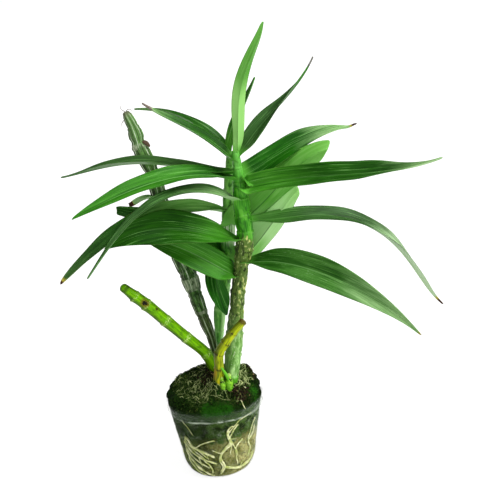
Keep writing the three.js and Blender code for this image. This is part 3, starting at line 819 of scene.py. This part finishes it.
# each joint's place and thickness, in millimetres
canes = {
    "cane_main": ((14, -3, 66, 8.4), (15.4, -2.5, 78, 11), (18.6, -2, 96, 12.4), (21.2, -2, 114, 13),
                  (24.5, -2, 132, 10.4), (27, -2, 148, 10.8), (31, -2, 166, 10.4), (33.5, -2, 181, 13),
                  (35, -2, 195, 12.4), (35.5, -2, 208, 12.4), (35.5, -2, 221, 11.6), (35.2, -2, 233, 9.2),
                  (35, -2, 244, 6.8), (34.6, -2, 256, 5)),
    "cane_second": ((7, 14, 66, 4), (7.9, 13, 99, 4.2), (8.9, 13, 111.5, 7.6), (11.2, 14, 129, 9.5),
                    (16, 15, 148, 10), (19.5, 15, 167, 10.2), (22.5, 15, 185, 10.4), (24, 15, 199, 10.4),
                    (25, 15, 211, 8.4), (26.5, 14, 225, 7.2), (28.5, 13, 240, 6), (30.5, 12, 253, 5)),
    "cane_old": ((4, 20, 66, 5), (4, 19, 86, 5), (1.5, 19, 104, 7), (-3, 19, 121, 8.6), (-7.8, 20, 141, 10.6),
                 (-11.5, 21, 158, 13), (-18, 22, 178, 13), (-24, 23, 201, 12.4), (-27.5, 24, 221, 11.4),
                 (-31, 25, 241, 10.6), (-38.3, 26, 262, 11.6), (-41.6, 27, 276.5, 9.2), (-46, 28, 288, 2.6)),
    "cane_lime": ((4, 6, 66, 7), (3, 6, 79, 9), (-3, 4, 96, 9.2), (-17, 0, 113, 9.4), (-31, -4, 130, 9.6),
                  (-44, -8, 146, 9.6), (-51.5, -10, 154, 9.2), (-58.5, -12, 162, 6.6)),
    "cane_stump": ((4.5, -12, 66, 7.4), (4.5, -12, 74, 8), (7, -13, 90, 7.2), (8.3, -14, 103, 7.4),
                   (14.2, -15, 112, 7.4), (20.8, -16, 120, 6.8), (29, -17, 128.5, 6)),
    "bud_left": ((8.2, -16, 65.5, 3.6), (8.2, -15.5, 72, 4.4), (8.6, -15, 78, 4), (8, -14.5, 82.5, 2.4)),
    "bud_right": ((14, -13, 65.5, 4.4), (13.5, -12.5, 72, 6), (13.5, -11.5, 78, 6), (13.8, -10.5, 82, 3.4)),
}


def caneAxisAt(name, height):
    joints = canes[name]
    above = next(i for i, joint in enumerate(joints) if joint[2] >= height)
    low, high = joints[above - 1], joints[above]
    return Vector(low[:3]).lerp(Vector(high[:3]), (height - low[2]) / (high[2] - low[2]))


def stemSkin(joints, sides, perSpan, relief, capRows=8, capLength=0.8, crest=None):
    # relief gives how far the skin stands off the plain radius, in millimetres, and crest
    # marks what stands proud for the colours
    points = [Vector(joint[:3]) for joint in joints]
    spans = len(joints) - 1
    rows = spans * perSpan + capRows
    rings = []
    distance = 0.0
    before = points[0]
    for row in range(rows + 1):
        t = min(row / perSpan, spans)
        cap = max(0, row - spans * perSpan) / capRows
        centre = curveAt(points, t / spans)
        along = (curveAt(points, min(1, t / spans + 0.002)) - curveAt(points, t / spans - 0.002)).normalized()
        i = min(int(t), spans - 1)
        full = mix(joints[i][3], joints[i + 1][3], t - i) / 2
        distance += (centre - before).length
        before = centre
        side = Vector((0, 1, 0)).cross(along).normalized()
        radius = full * max(0.0, cos(cap * pi / 2)) if cap < 1 else 0.0
        rings.append((centre + along * capLength * full * sin(cap * pi / 2), side, along.cross(side),
                      radius, t, distance + cap * full, full))

    def place(around, w):
        centre, side, front, radius, t, distance, full = rings[round(w * rows)]
        turn = 2 * pi * around
        stand = relief(t, turn, distance, full) * (radius / full)
        point = centre + (side * cos(turn) + front * sin(turn)) * (radius + stand)
        ring = hump(abs(t - round(t)) * 14, 0.9) if 0.4 < t < spans - 0.4 else 0.0
        proud = crest(t, turn, distance) if crest else 0.0
        return point * mm, (cos(turn), sin(turn), t), (distance, proud, ring)

    return rolledGrid(bmesh.new(), sides, rows, place), distance


def jointSwell(t, spans, share, width=0.07):
    # a swelling at each joint, with a fine groove just above it
    off = t - round(t)
    if not 0 < round(t) < spans:
        return 0.0
    return share * hump(off, width) - share * 0.7 * hump(off - 0.11, 0.03)


def sheathLip(t, turn, lip, height=0.9):
    # each sheath ends in a slanting mouth a little below the next joint
    off = t % 1.0
    mouth = height + 0.05 * cos(turn - 2.4 * int(t))
    return lip * (1 - smooth(off, mouth - 0.02, mouth + 0.02)) * smooth(off, 0.1, 0.5)


# how far the old bark's joints stray to the right of the axis that the leaves grow from
barkStray = {7: 1.0, 8: 1.6, 9: 0.2}


def makeMainCane():
    joints = [(x + barkStray.get(i, 0.0), y, z, width)
              for i, (x, y, z, width) in enumerate(canes["cane_main"])]

    def wrinkles(t, turn, distance):
        at = ringPoint(turn, 5, distance * 0.42)
        return rough(at, 2.0, 3) + 0.7 * rough(at, 0.9, 5)

    def relief(t, turn, distance, radius):
        crust = 1 - smooth(t, 7.3, 8.0)  # papery bark below, smooth sheaths above
        papery = crust * mix(0.3, 0.65, smooth(t, 2.0, 4.0)) * wrinkles(t, turn, distance)
        folds = 0.3 * rough(ringPoint(turn, 4, distance * 0.4), 2.6, 11)
        return jointSwell(t, len(joints) - 1, 0.09 * radius) + sheathLip(t, turn, 0.35) + papery + folds

    bm, _ = stemSkin(joints, 64, 24, relief, crest=wrinkles)
    look = Finish("mainCane", Specular_IOR_Level=0.16).marks()
    c, t, crest = look.c, look.t, look.crest
    streak = look.around(3.0, 0.16)
    flecks = look.grain(streak, 1.7, 4, 0.65, 0.4)
    patches = look.grain(streak, 0.55, 3, 0.5, 0.6)
    lines = look.grain(look.around(9.0, 0.05), 1.0, 2)
    paintedLitSide = look.ease(c, -0.75, 0.45)  # paler on the right, the side the light falls on: painted light
    # the papery bark's pale crests, painted brighter on the lit side as a painted highlight
    paleCrestsAndHighlight = look.times(look.ease(crest, 0.28, 0.62), look.ease(paintedLitSide, 0.0, 1.0, 1.0, 0.15))
    foot = look.coats(
        "#5a8c38",
        ("#a6d280", patches, 0.34, 0.64),
        ("#d9e6bc", flecks, 0.58, 0.66, 0.6),
        ("#3d6420", flecks, 0.4, 0.32, 0.6),
        # painted shade: the foot darker towards its left side
        ("#3a6222", c, 0.1, -0.8, 0.75),
    )
    bark = look.coats(
        "#22340f",
        ("#4a6224", patches, 0.36, 0.6),
        ("#749640", look.times(paintedLitSide, 0.55)),
        ("#d8dc86", paleCrestsAndHighlight),
        # painted shade in the hollows of the bark's wrinkles
        ("#1c2b0d", crest, -0.15, -0.5, 0.8),
        ("#b6c983", flecks, 0.58, 0.66, 0.8),
        (foot, t, 4.2, 2.4),
        ("#57a51f", t, 1.25, 0.85),
    )
    fresh = look.coats(
        "#2a7a0c",
        ("#4fa824", lines, 0.3, 0.7),
        ("#7bd044", patches, 0.52, 0.62, 0.35),
        ("#175208", patches, 0.46, 0.36, 0.7),
        ("#7fbf52", look.times(look.ring, look.ease(flecks, 0.4, 0.6, 0.3))),
        ("#62ae45", t, 10.5, 12.8),
    )
    edge = look.wander(t, patches, 1.2)
    look.relief(look.plus(flecks, look.times(lines, 0.3)), 0.6, 0.0007)
    material = look.paint(look.coats(bark, (fresh, edge, 7.55, 7.9)), look.ease(edge, 7.5, 7.9, 0.36, 0.68))
    finishPiece(bm, "mainCane", "cane_main", "cane_bark", material)


def makeSecondCane():
    joints = canes["cane_second"]

    def relief(t, turn, distance, radius):
        return jointSwell(t, len(joints) - 1, 0.07 * radius) + sheathLip(t, turn, 0.3)

    bm, _ = stemSkin(joints, 40, 18, relief)
    look = Finish("secondCane", Roughness=0.4, Specular_IOR_Level=0.16).marks()
    c, t = look.c, look.t
    patches = look.grain(look.around(1.0, 0.09), 1.3, 3, 0.5, 0.6)
    lines = look.grain(look.around(9.0, 0.05), 1.0, 2)
    paper = look.times(look.band(t, 5.7, 6.1, 6.8, 7.2), look.ease(lines, 0.42, 0.6))
    # painted highlight: a pale band down the right side of the lower joints
    pale = look.times(look.ease(c, 0.1, 0.6), look.ease(t, 4.5, 3.0, 0.85))
    colour = look.coats(
        "#3a8a1e",
        ("#70b94c", lines, 0.32, 0.68),
        ("#86cf5c", t, 6.5, 9.0, 0.55),
        ("#1f5a0c", patches, 0.48, 0.38, 0.75),
        ("#8fd45a", patches, 0.54, 0.64, 0.6),
        # painted shade: darker on the left side
        ("#1e4a10", c, 0.0, -0.8, 0.5),
        ("#cfe0bd", paper),
        ("#aee090", pale),
        ("#9ccb7e", look.times(look.ring, 0.4)),
    )
    look.relief(lines, 0.3, 0.0003)
    finishPiece(bm, "secondCane", "cane_second", "cane_green", look.paint(colour))


oldCane = {
    "ribs": 8,
    # dry threads, left from the sheath, at the tip
    "threads": (
        ((-45.0, 28, 286), (-47.0, 27, 289.5), (-48.8, 26, 291), (-49.2, 25.5, 293.5), (-48.2, 25.5, 294.5)),
        ((-46.0, 28, 287), (-44.5, 26.5, 290.5), (-42.0, 26, 290.6), (-40.8, 26, 288.4)),
        ((-47.5, 27, 283), (-49.5, 26, 281), (-50.3, 26, 277.5)),
    ),
    # what is left of a sheath round each of these stretches: joints from and to
    "collars": ((3.22, 3.32), (4.24, 4.84), (6.9, 7.05), (9.94, 10.14)),
    # a dead bud beside a collar
    "bud": ((-36.0, 23.5, 265.5), (-33.0, 22.5, 265.0), (-30.2, 22.0, 261.8)),
}


def makeOldCane():
    joints = canes["cane_old"]

    def crest(t, turn, distance):
        return cos(oldCane["ribs"] * turn + 0.3 * sin(distance / 9))

    def relief(t, turn, distance, radius):
        sunk = smooth(abs(t - round(t)), 0.03, 0.25)
        ribbed = 0.075 * radius * crest(t, turn, distance) * sunk
        ribbed += 0.35 * sum(smooth(t, low - 0.03, low) * (1 - smooth(t, high, high + 0.03))
                             for low, high in oldCane["collars"])
        at = ringPoint(turn, 5, distance * 0.2)
        blunt = 1.5 * smooth(t, 11.0, 12.0) * (1 + 0.4 * rough(at, 2.0, 4))
        crust = 0.2 * rough(at, 1.2, 2) - 1.1 * hump(t - 10.28, 0.14)
        swell = jointSwell(t, len(joints) - 1, 0.08 * radius, 0.06)
        return ribbed + blunt + crust + swell + sheathLip(t, turn, 0.3, 0.86)

    bm, _ = stemSkin(joints, 80, 20, relief, capLength=0.9, crest=crest)
    for thread in oldCane["threads"]:
        tubeAlong(bm, thread, lambda s, turn: 0.32 * (1.05 - s) ** 0.6, 8, 20)
    tubeAlong(bm, oldCane["bud"], lambda s, turn: 1.7 * sin(pi * (0.08 + 0.84 * s)) ** 0.6, 12, 16)
    look = Finish("oldCane", Specular_IOR_Level=0.12).marks()
    t, crest = look.t, look.crest
    stripes = look.grain(look.around(4.0, 0.035), 1.9, 3, 0.6, 0.2)
    mottle = look.grain(look.around(1.0, 0.1), 2.4, 3)
    lines = look.times(look.ease(crest, 0.7, 0.93), look.ease(stripes, 0.42, 0.56))
    colour = look.coats(
        "#27451a",
        ("#4d7834", mottle, 0.35, 0.65),
        ("#7fb062", t, 9.0, 10.5, 0.5),
        ("#5c6238", t, 3.6, 2.8, 0.5),
        # painted shade: darker on the left side
        ("#28261f", look.c, 0.0, -0.85, 0.7),
        ("#cfdfc0", look.times(lines, 0.9)),
        # painted shade in the troughs between the ribs
        ("#18240e", crest, -0.6, -0.95, 0.6),
        ("#a9c394", stripes, 0.6, 0.68, 0.6),
    )
    paper = look.coats("#77826a", ("#b7c0a2", stripes, 0.4, 0.6))
    worn = look.ease(mottle, 0.38, 0.58, 0.75, 0.15)
    for low, high in oldCane["collars"]:
        collar = look.band(t, low - 0.03, low, high, high + 0.03)
        colour = look.coats(colour, (paper, look.times(collar, worn)))
    withered = look.coats("#3a2c22", ("#7a6450", mottle))
    colour = look.coats(colour, ("#5d6048", t, 11.5, 12.1), (withered, t, 1.02, 1.0))
    look.relief(look.plus(stripes, look.times(mottle, 0.5)), 0.6, 0.0006)
    material = look.paint(colour, look.ease(mottle, 0.3, 0.7, 0.75, 0.5))
    finishPiece(bm, "oldCane", "cane_old", "cane_old", material)


# old wounds on the lime cane: place, size, colour around and colour within
scars = (
    ((-43.6, -14.0, 148.6), 2.9, "#6d6a12", "#15130c"),
    ((-35.6, -9.5, 141.8), 1.2, "#56700e", "#2a2c0a"),
)


def makeLimeCane():
    joints = canes["cane_lime"]

    def relief(t, turn, distance, radius):
        waist = -0.07 * radius * sin(pi * (t % 1.0)) if t > 2 else 0.0
        lump = 0.09 * radius * hump(t - round(t), 0.12) * max(0.0, cos(turn - 0.6 * round(t)))
        swell = jointSwell(t, len(joints) - 1, 0.05 * radius, 0.06)
        return swell + waist + lump + sheathLip(t, turn, 0.12, 0.92)

    bm, length = stemSkin(joints, 48, 18, relief, capRows=10)
    look = Finish("limeCane", Roughness=0.3, Specular_IOR_Level=0.08).marks()
    lines = look.grain(look.around(6.0, 0.06), 1.0, 3)
    blotch = look.grain(look.around(1.3, 0.1), 1.6, 3)
    dots = look.grain(look.around(5.0, 0.9), 1.5, 1)
    mouth = look.band(look.run, length - 3.5, length - 1.5, length - 0.6, length + 1.0)
    colour = look.coats(
        "#4f8f00",
        ("#7fc004", lines, 0.3, 0.7),
        ("#3f6a0a", blotch, 0.5, 0.66, 0.7),
        # painted shade: darker on the underside, away from the light
        ("#2e4a00", look.c, 0.15, -0.8, 0.9),
        ("#3c5c06", look.c, 0.6, 1.0, 0.6),
        ("#cfe58c", look.times(look.ring, look.ease(dots, 0.52, 0.6, 0.8))),
        ("#2f4d08", look.times(mouth, 0.75)),
    )
    for spot, size, halo, heart in scars:
        centre = [value * mm for value in spot]
        away = look.add("VectorMath", {0: look.place(), 1: centre}, "Value", operation="DISTANCE")
        ragged = look.wander(away, dots, 3.5 * mm)
        colour = look.coats(
            colour, (halo, ragged, size * 1.7 * mm, size * mm),
            (heart, ragged, size * mm, size * 0.7 * mm),
        )
    look.relief(lines, 0.25, 0.0003)
    finishPiece(bm, "limeCane", "cane_lime", "cane_lime", look.paint(colour))


# a fresh sheath that runs from the stump's side down to the shoots
stumpSheath = ((6.6, -14.5, 95.0), (9.6, -16.0, 90.5), (12.2, -15.8, 85.0), (13.2, -14.8, 80.0))


def makeStump():
    joints = canes["cane_stump"]
    spans = len(joints) - 1

    def relief(t, turn, distance, radius):
        torn = 0.5 * rough(ringPoint(turn, 3, 4), 1.0, 7) * smooth(t, spans - 0.15, spans)
        return jointSwell(t, spans, 0.13 * radius, 0.1) + torn + 0.1 * sin(2 * turn + t)

    bm, _ = stemSkin(joints, 40, 18, relief, capLength=0.35)
    tubeAlong(bm, stumpSheath, lambda s, turn: mix(0.5, 1.7, s) * sin(pi * (0.04 + 0.92 * s)) ** 0.5, 12, 24)
    look = Finish("ochreStump", Roughness=0.42, Specular_IOR_Level=0.16).marks()
    t = look.t
    lines = look.grain(look.around(2.0, 0.12), 1.0, 3)
    colour = look.coats(
        "#566600",
        ("#b4c400", lines, 0.26, 0.68),
        # painted shade: darker on the left side
        ("#2c3c06", look.c, 0.1, -0.9, 0.75),
        ("#b88608", look.times(look.ease(t, 3.0, 1.6), look.ease(lines, 0.5, 0.6, 0.5))),
        ("#2e2406", look.times(look.ring, look.ease(lines, 0.64, 0.44))),
        ("#4c340c", t, 5.75, 6.0, 0.85),
        ("#5fae1e", t, 1.25, 0.95),
    )
    look.relief(lines, 0.35, 0.0004)
    finishPiece(bm, "ochreStump", "cane_stump", "cane_ochre", look.paint(colour))


def makeBud(name, node):
    def relief(t, turn, distance, radius):
        # overlapping scales, each ending in a slanting edge
        off = (t * 1.6 + 0.16 * cos(turn + 2.1 * int(t * 1.6))) % 1.0
        return 0.24 * (1 - smooth(off, 0.86, 0.96)) * smooth(off, 0.0, 0.7)

    bm, _ = stemSkin(canes[node], 32, 18, relief, capRows=12, capLength=1.1)
    look = Finish(name, Roughness=0.38, Specular_IOR_Level=0.16).marks()
    t = look.t
    lines = look.grain(look.around(1.0, 0.25), 3.0, 2)
    colour = look.coats(
        "#4f9a12",
        ("#94cc34", lines, 0.3, 0.7),
        ("#3a860f", t, 2.0, 1.0, 0.5),
        ("#16240a", lines, 0.4, 0.34),
        ("#0c1405", look.times(look.band(t, 2.1, 2.3, 2.6, 2.75), look.ease(lines, 0.62, 0.5))),
        ("#a9c26a", t, 2.9, 3.05),
    )
    finishPiece(bm, name, node, "shoot", look.paint(colour))


makeMainCane()
makeSecondCane()
makeOldCane()
makeLimeCane()
makeStump()
makeBud("leftBud", "bud_left")
makeBud("rightBud", "bud_right")


# leaves

# each green: its dark and light streaks and its underside
tones = {
    "deep": ("#0f3a04", "#28630f", "#4f8f3a"),
    "rich": ("#0a3d02", "#1f6606", "#4a9030"),
    "fresh": ("#1c5a08", "#3a8219", "#5ea042"),
    "sage": ("#1b4e0a", "#4d8434", "#6a9d54"),
    "jade": ("#0b3202", "#225808", "#3f7a2c"),
    "mid": ("#28690e", "#4a9226", "#6aa84c"),
    "bright": ("#3f8a1c", "#6cb544", "#7cc058"),
    "pale": ("#579a38", "#90c96c", "#88c368"),
    # a pale green whose light streaks are painted highlights
    "paintedHighlightGreen": ("#3f8c24", "#b4e49a", "#a4da88"),
    "grey": ("#274a1b", "#4a7538", "#6a9656"),
    "dusk": ("#1b3812", "#37602a", "#56804a"),
    "bone": ("#6f8f60", "#aac59a", "#a9c59c"),
    # a pale grey-green: partly the leaves' own colour, partly painted sheen near their bases and ends
    "ash": ("#5b8f45", "#a0c888", "#a4c890"),
}

# Where each blade leaves its cane, the angles that it grows along and how it leans, as in
# the solid model. Then what is its own in outline, edges and look.
leaves = {
    "leaf_crown_front": dict(
        cane="cane_main", at=252, heading=(-58, -21), climb=(63, 125, 15, 79), length=102, width=10,
        lean=(-54, -22), peak=0.44, taper=0.44, midrib=-0.3, tones=("pale", "pale", "mid"),
        turns=(0.1, 0.4, 0.42, 0.62)
    ),
    "leaf_crown_back": dict(
        cane="cane_second", at=250, heading=(25, 25), climb=(81, 60, 54, 66), length=63, width=14,
        lean=(4, 0), peak=0.3, tones=("bright", "rich", "deep"), turns=(0.16, 0.5, 0.55, 0.9)
    ),
    "leaf_upper_left_back": dict(
        cane="cane_second", at=247, heading=(170, 178), climb=(70, 33, 23, 3), length=86, width=15,
        lean=(20, -7), peak=0.2, taper=0.7, bulge=(0.64, 0.14, -0.22, 1), tones=("deep", "deep", "grey")
    ),
    "leaf_upper_left_front": dict(
        cane="cane_main", at=247, heading=(185, 200), climb=(45, 49, 16, 45), length=83, width=16,
        lean=(26, 18), peak=0.35, midrib=0.6, dryFrom=0.9, dry=("#8f9a78", "#7c7066"),
        bulge=(0.64, 0.16, -0.3, -1), tones=("deep", "deep", "ash"), turns=(0.1, 0.3, 0.66, 1.0)
    ),
    "leaf_upper_right_erect": dict(
        cane="cane_main", at=249, heading=(25, 20), climb=(55, 31, 34, 61), length=98, width=15,
        lean=(60, -45), taper=2.2, dryFrom=0.93, dry=("#3c4a38", "#6a6a62"),
        tones=("grey", "dusk", "jade")
    ),
    "leaf_left_slender": dict(
        cane="cane_main", at=241, heading=(175, 185), climb=(-4, 49, -28, -4), length=132.7, width=18.8,
        lean=(15, -4), peak=0.64, taper=1.86, tones=("sage", "grey", "dusk"),
        turns=(0.1, 0.35, 0.45, 0.9)
    ),
    "leaf_upper_right_curled": dict(
        cane="cane_main", at=236.5, heading=(20, 0), climb=(15, 39, 14, -3), length=99, width=18.5,
        lean=(60, 15), peak=0.55, taper=1.4, baseWidth=0.9, heel=-0.5, settle=0.03, dryFrom=0.955,
        tipHook=2.6, tones=("rich", "rich", "ash"), turns=(0.1, 0.4, 0.48, 0.85)
    ),
    "leaf_left_broad_upper": dict(
        cane="cane_main", at=234, heading=(200, 205), climb=(25, -4, -18, -18), length=130.3, width=20.2,
        lean=(19, 36), peak=0.34, taper=0.92, midrib=0.45, tones=("rich", "fresh", "fresh")
    ),
    "leaf_right_long": dict(
        cane="cane_main", at=228, heading=(-26, -35), climb=(16, 0, -2, 24), length=157, width=20,
        lean=(64, 8), peak=0.6, taper=1.6, baseWidth=0.75, settle=0.06, tones=("mid", "deep", "ash"),
        turns=(0.14, 0.42, 0.66, 0.95)
    ),
    "leaf_left_tailed": dict(
        cane="cane_main", at=216, heading=(206, 229), climb=(37, 5, -48, -36), length=149, width=16,
        lean=(29, -14), peak=0.1, taper=1.2, midrib=0.4, tones=("ash", "dusk", "dusk"),
        turns=(0.1, 0.36, 0.5, 0.75)
    ),
    "leaf_left_brown_tip": dict(
        cane="cane_second", at=207, heading=(190, 215), climb=(19, -1, -45, -26), length=145, width=21,
        lean=(30, 0), peak=0.45, taper=0.6, dryFrom=0.972, rim="#a7a23a", tones=("pale", "deep", "grey"),
        turns=(0.24, 0.5, 0.6, 0.95)
    ),
    "leaf_right_arching": dict(
        cane="cane_main", at=203, heading=(4, -2), climb=(-5, 18, -17, -101, -39), length=187, width=18,
        lean=(51, -17), peak=0.65, taper=1.1, baseWidth=0.65, dryFrom=0.965,
        tones=("sage", "dusk", "bone"), turns=(0.1, 0.3, 0.45, 0.85)
    ),
    "leaf_right_pale_upper": dict(
        cane="cane_second", at=195, heading=(-20, -10), climb=(22, 50, 58, 10), length=101, width=24,
        lean=(-60, -100), peak=0.45, tip=0.4, baseWidth=1.35, taper=0.6, midrib=-0.7, cut=-0.8,
        gloss=0.15, tones=("bright", "mid", "bright"), turns=(0.1, 0.4, 0.6, 1.15)
    ),
    "leaf_left_broad_middle": dict(
        cane="cane_main", at=187, heading=(200, 205), climb=(19, 33, 7, -31), length=111, width=27,
        lean=(15, 100), peak=0.5, midrib=0.05, gloss=0.04, tones=("mid", "jade", "jade"),
        turns=(0.14, 0.46, 0.6, 0.9)
    ),
    "leaf_left_hanging": dict(
        cane="cane_second", at=175, heading=(215, 340), climb=(-6, -70, -87, -59), length=56, width=17,
        lean=(-26, -57), bulge=(0.88, 0.25, 0.7, 1), tones=("rich", "rich", "rich")
    ),
    "leaf_right_drooping": dict(
        cane="cane_main", at=169, heading=(-30, -45), climb=(17, -23, -9, -39), length=156, width=23,
        lean=(25, 80), peak=0.35, taper=1.25, midrib=0.35, specks=0.16, dryFrom=0.99,
        tones=("deep", "sage", "ash"), turns=(0.1, 0.4, 0.5, 0.82)
    ),
    "leaf_left_hidden": dict(
        cane="cane_second", at=166, heading=(190, 178), climb=(82, 21, 9, 17), length=100, width=17,
        lean=(50, 60), tip=0.4, torn=5.0, tones=("fresh", "deep", "deep"), rim="#cfd8bc"
    ),
    "leaf_left_broad_lower": dict(
        cane="cane_main", at=158, heading=(190, 180), climb=(37, 39, 29, 17), length=84, width=23,
        lean=(68, 66), taper=0.7, midrib=0.4, tones=("fresh", "mid", "deep")
    ),
    "leaf_right_pale_lower": dict(
        cane="cane_second", at=161, heading=(-15, -10), climb=(28, 50, 60, 42), length=89, width=18,
        lean=(-55, -98), peak=0.5, tip=0.35, baseWidth=1.35, midrib=-0.7, cut=-0.5, gloss=0.15,
        bulge=(0.48, 0.15, 0.4, -1), tones=("bright", "paintedHighlightGreen", "pale"), turns=(0.28, 0.55, 0.7, 1.0)
    ),
    "leaf_old_remnant": dict(
        cane="cane_old", at=220, heading=(190, 200), climb=(39, -19, -26, -15), length=25.4, width=8.7,
        lean=(-19, 34), tip=0.5, peak=0.5, dryFrom=0.86, torn=2.5, slot="leaf_remnant",
        tones=("ash", "ash", "ash")
    ),
}

# what the blades share, unless their own table says otherwise
blade = {
    "steps": 36, "rows": 120, "columns": 56, "fold": 21.0, "baseFold": 24.0, "crease": 0.12,
    "midribThickness": 0.95, "edgeThickness": 0.4, "nerves": 4, "nerveDepth": 0.05,
    "waveLength": 38.0, "waveDepth": 0.28, "clasp": (1.0, 9.0), "heelRun": (6.0, 30.0),
    "baseWidth": 0.55, "peak": 0.42, "tip": 0.06, "taper": 1, "settle": 0.2, "heel": 0,
    "bulge": (0, 1, 0, 1), "cut": 0, "torn": 0, "tipHook": 0, "turns": (0.05, 0.38, 0.55, 0.9),
    "gloss": 0.09, "midrib": 0.12, "rim": "#7cab52", "specks": 0, "dryFrom": None,
    "dry": ("#a39a36", "#3e2416"), "slot": "leaf",
}


def outline(s, leaf):
    base, peak, tip = leaf["baseWidth"], leaf["peak"], leaf["tip"]
    if s < peak:
        share = base + (1 - base) * sin(pi / 2 * s / peak)
    else:
        share = tip + (1 - tip) * max(0.0, cos(pi / 2 * (s - peak) / (1 - peak))) ** leaf["taper"]
    share *= mix(0.8, 1.0, smooth(s * leaf["length"], *leaf["clasp"]))
    return share * sqrt(1 - clamp((s - 0.975) / 0.025) ** 2)


def bladeRows(leaf):
    # centre line, side and upward direction of the blade at each row
    def directions(s):
        turn, slope = (radians(blendAlong(leaf[key], s)) for key in ("heading", "climb"))
        return ringPoint(turn, cos(slope), sin(slope)), Vector((-sin(turn), cos(turn), 0))

    steps, rows = leaf["steps"], leaf["rows"]
    marks = [caneAxisAt(leaf["cane"], leaf["at"])]
    for i in range(steps):
        marks.append(marks[-1] + directions(i / steps)[0] * leaf["length"] / steps)
    viewSign = 1 if cos(radians(leaf["heading"][0])) > 0 else -1
    for row in range(rows + 1):
        s = row / rows
        along, flat = directions(s)
        roll = viewSign * radians(blendAlong(leaf["lean"], s)) * smooth(s, 0, leaf["settle"])
        side = Matrix.Rotation(roll, 3, along) @ flat
        yield curveAt(marks, s), side, along.cross(side)


def bladeSkin(leaf, seed):
    rows, crease, length = leaf["rows"], leaf["crease"], leaf["length"]
    spot, spread, amount, edge = leaf["bulge"]
    frames = list(bladeRows(leaf))

    def place(around, s):
        centre, side, up = frames[round(s * rows)]
        even, face = (4 * around - 1, 1) if around <= 0.5 else (3 - 4 * around, -1)
        share = even * (0.72 + 0.28 * abs(even))
        half = leaf["width"] / 2 * outline(s, leaf)
        fold = tan(radians(mix(leaf["baseFold"], leaf["fold"], smooth(s, 0.0, 0.14))))
        rise = half * fold * (sqrt(share ** 2 + crease ** 2) - crease) / (sqrt(1 + crease ** 2) - crease)
        wave = leaf["waveDepth"] * abs(share) ** 3 * smooth(s, 0.05, 0.3) * (half / 8)
        rise += wave * sin(2 * pi * s * length / leaf["waveLength"] + seed + (1.3 if share > 0 else 0))
        rise += leaf["nerveDepth"] * cos(2 * pi * leaf["nerves"] * share) * (1 - abs(share))
        rise -= 0.28 * hump(share, 0.07)
        thick = mix(leaf["midribThickness"], leaf["edgeThickness"], smooth(abs(share), 0, 0.5))
        thick *= sqrt(max(0.0, 1 - share ** 10)) if s < 1 else 0
        keel = 0.25 * hump(share, 0.08) if face < 0 else 0
        reach = half * share
        if leaf["heel"] * share > 0:
            reach *= 1 + abs(leaf["heel"]) * (1 - smooth(s * length, *leaf["heelRun"]))
        # one edge stands further out round a place along the blade
        reach *= 1 + amount * hump(s - spot, spread) * smooth(edge * share, 0.0, 0.3)
        ragged = leaf["torn"] * rough((share * half, seed * 3, 0), 1.6, seed) - leaf["cut"] * half * share
        point = centre + side * reach + up * (rise + face * thick / 2 - keel)
        point += up.cross(side) * ragged * smooth(s, 0.8, 1.0)
        point += up * leaf["tipHook"] * smooth(s, 0.9, 1.0) ** 2
        return point * mm, (share, s, face), (s * length, half * share, seed)

    return rolledGrid(bmesh.new(), leaf["columns"], rows, place)


def leafFinish(name, leaf, seed):
    look = Finish(name, Specular_IOR_Level=leaf["gloss"]).marks()
    s, face, run, reach = look.s, look.t, look.run, look.crest
    spread = look.sum("ABSOLUTE", look.c)
    veins = look.join(look.plus(reach, seed * 7.0), look.times(run, 0.012), seed * 1.0)
    fine = look.grain(veins, 1.8, 4, 0.7)
    clouds = look.join(look.times(reach, 0.16), look.times(run, 0.03), seed * 3.0)
    broad = look.grain(clouds, 1.0, 3, 0.5, 0.3)
    streaks = look.plus(look.times(look.ease(fine, 0.36, 0.64), 0.55),
                        look.times(look.ease(broad, 0.36, 0.64), 0.45))
    # three greens follow each other from the foot of the blade to its tip
    spent = look.wander(s, broad, 0.3)
    outer, last = look.ease(spent, *leaf["turns"][:2]), look.ease(spent, *leaf["turns"][2:])
    dark, light, under = (look.coats(base, (middle, outer), (end, last))
                          for base, middle, end in zip(*(tones[tone] for tone in leaf["tones"])))
    colour = look.coats(
        dark,
        (light, streaks),
        ("#0b2f04", fine, 0.46, 0.34, 0.5),
        ("#86bf6c", fine, 0.57, 0.68, 0.5),
        (look.blend(streaks, light, under), face, 0.2, -0.2),
        ("#5fae38", run, 14, 5, 0.7),
    )
    if leaf["specks"]:
        pits = look.grain(look.join(reach, look.times(run, 0.5), seed * 5.0), 0.9, 2)
        specks = look.times(look.ease(pits, 0.64, 0.68), look.ease(broad, 0.45, 0.6, leaf["specks"]))
        colour = look.coats(colour, ("#a8cf96", specks))
    midrib = leaf["midrib"]
    colour = look.coats(
        colour,
        ("#86c06e" if midrib > 0 else "#1f5210",
         look.times(look.ease(spread, 0.055, 0.012), look.ease(s, 0.97, 0.6, abs(midrib)))),
        (leaf["rim"], spread, 0.95, 1.0, 0.4),
    )
    if leaf["dryFrom"]:
        dry, start = look.wander(s, broad, 0.04), leaf["dryFrom"]
        dying, dead = leaf["dry"]
        colour = look.coats(colour, (dying, dry, start - 0.02, start), (dead, dry, start, start + 0.01))
    look.relief(look.plus(fine, look.times(broad, 0.3)), 0.35, 0.0004)
    return look.paint(colour, look.ease(fine, 0.3, 0.7, 0.46, 0.34))


def makeLeaves():
    for number, (node, shape) in enumerate(leaves.items()):
        leaf = {**blade, **shape}
        first, *rest = node.split("_")
        name = first + "".join(word.capitalize() for word in rest)
        finish = leafFinish(name, leaf, number)
        finishPiece(bladeSkin(leaf, number * 1.7), name, node, leaf["slot"], finish)


makeLeaves()
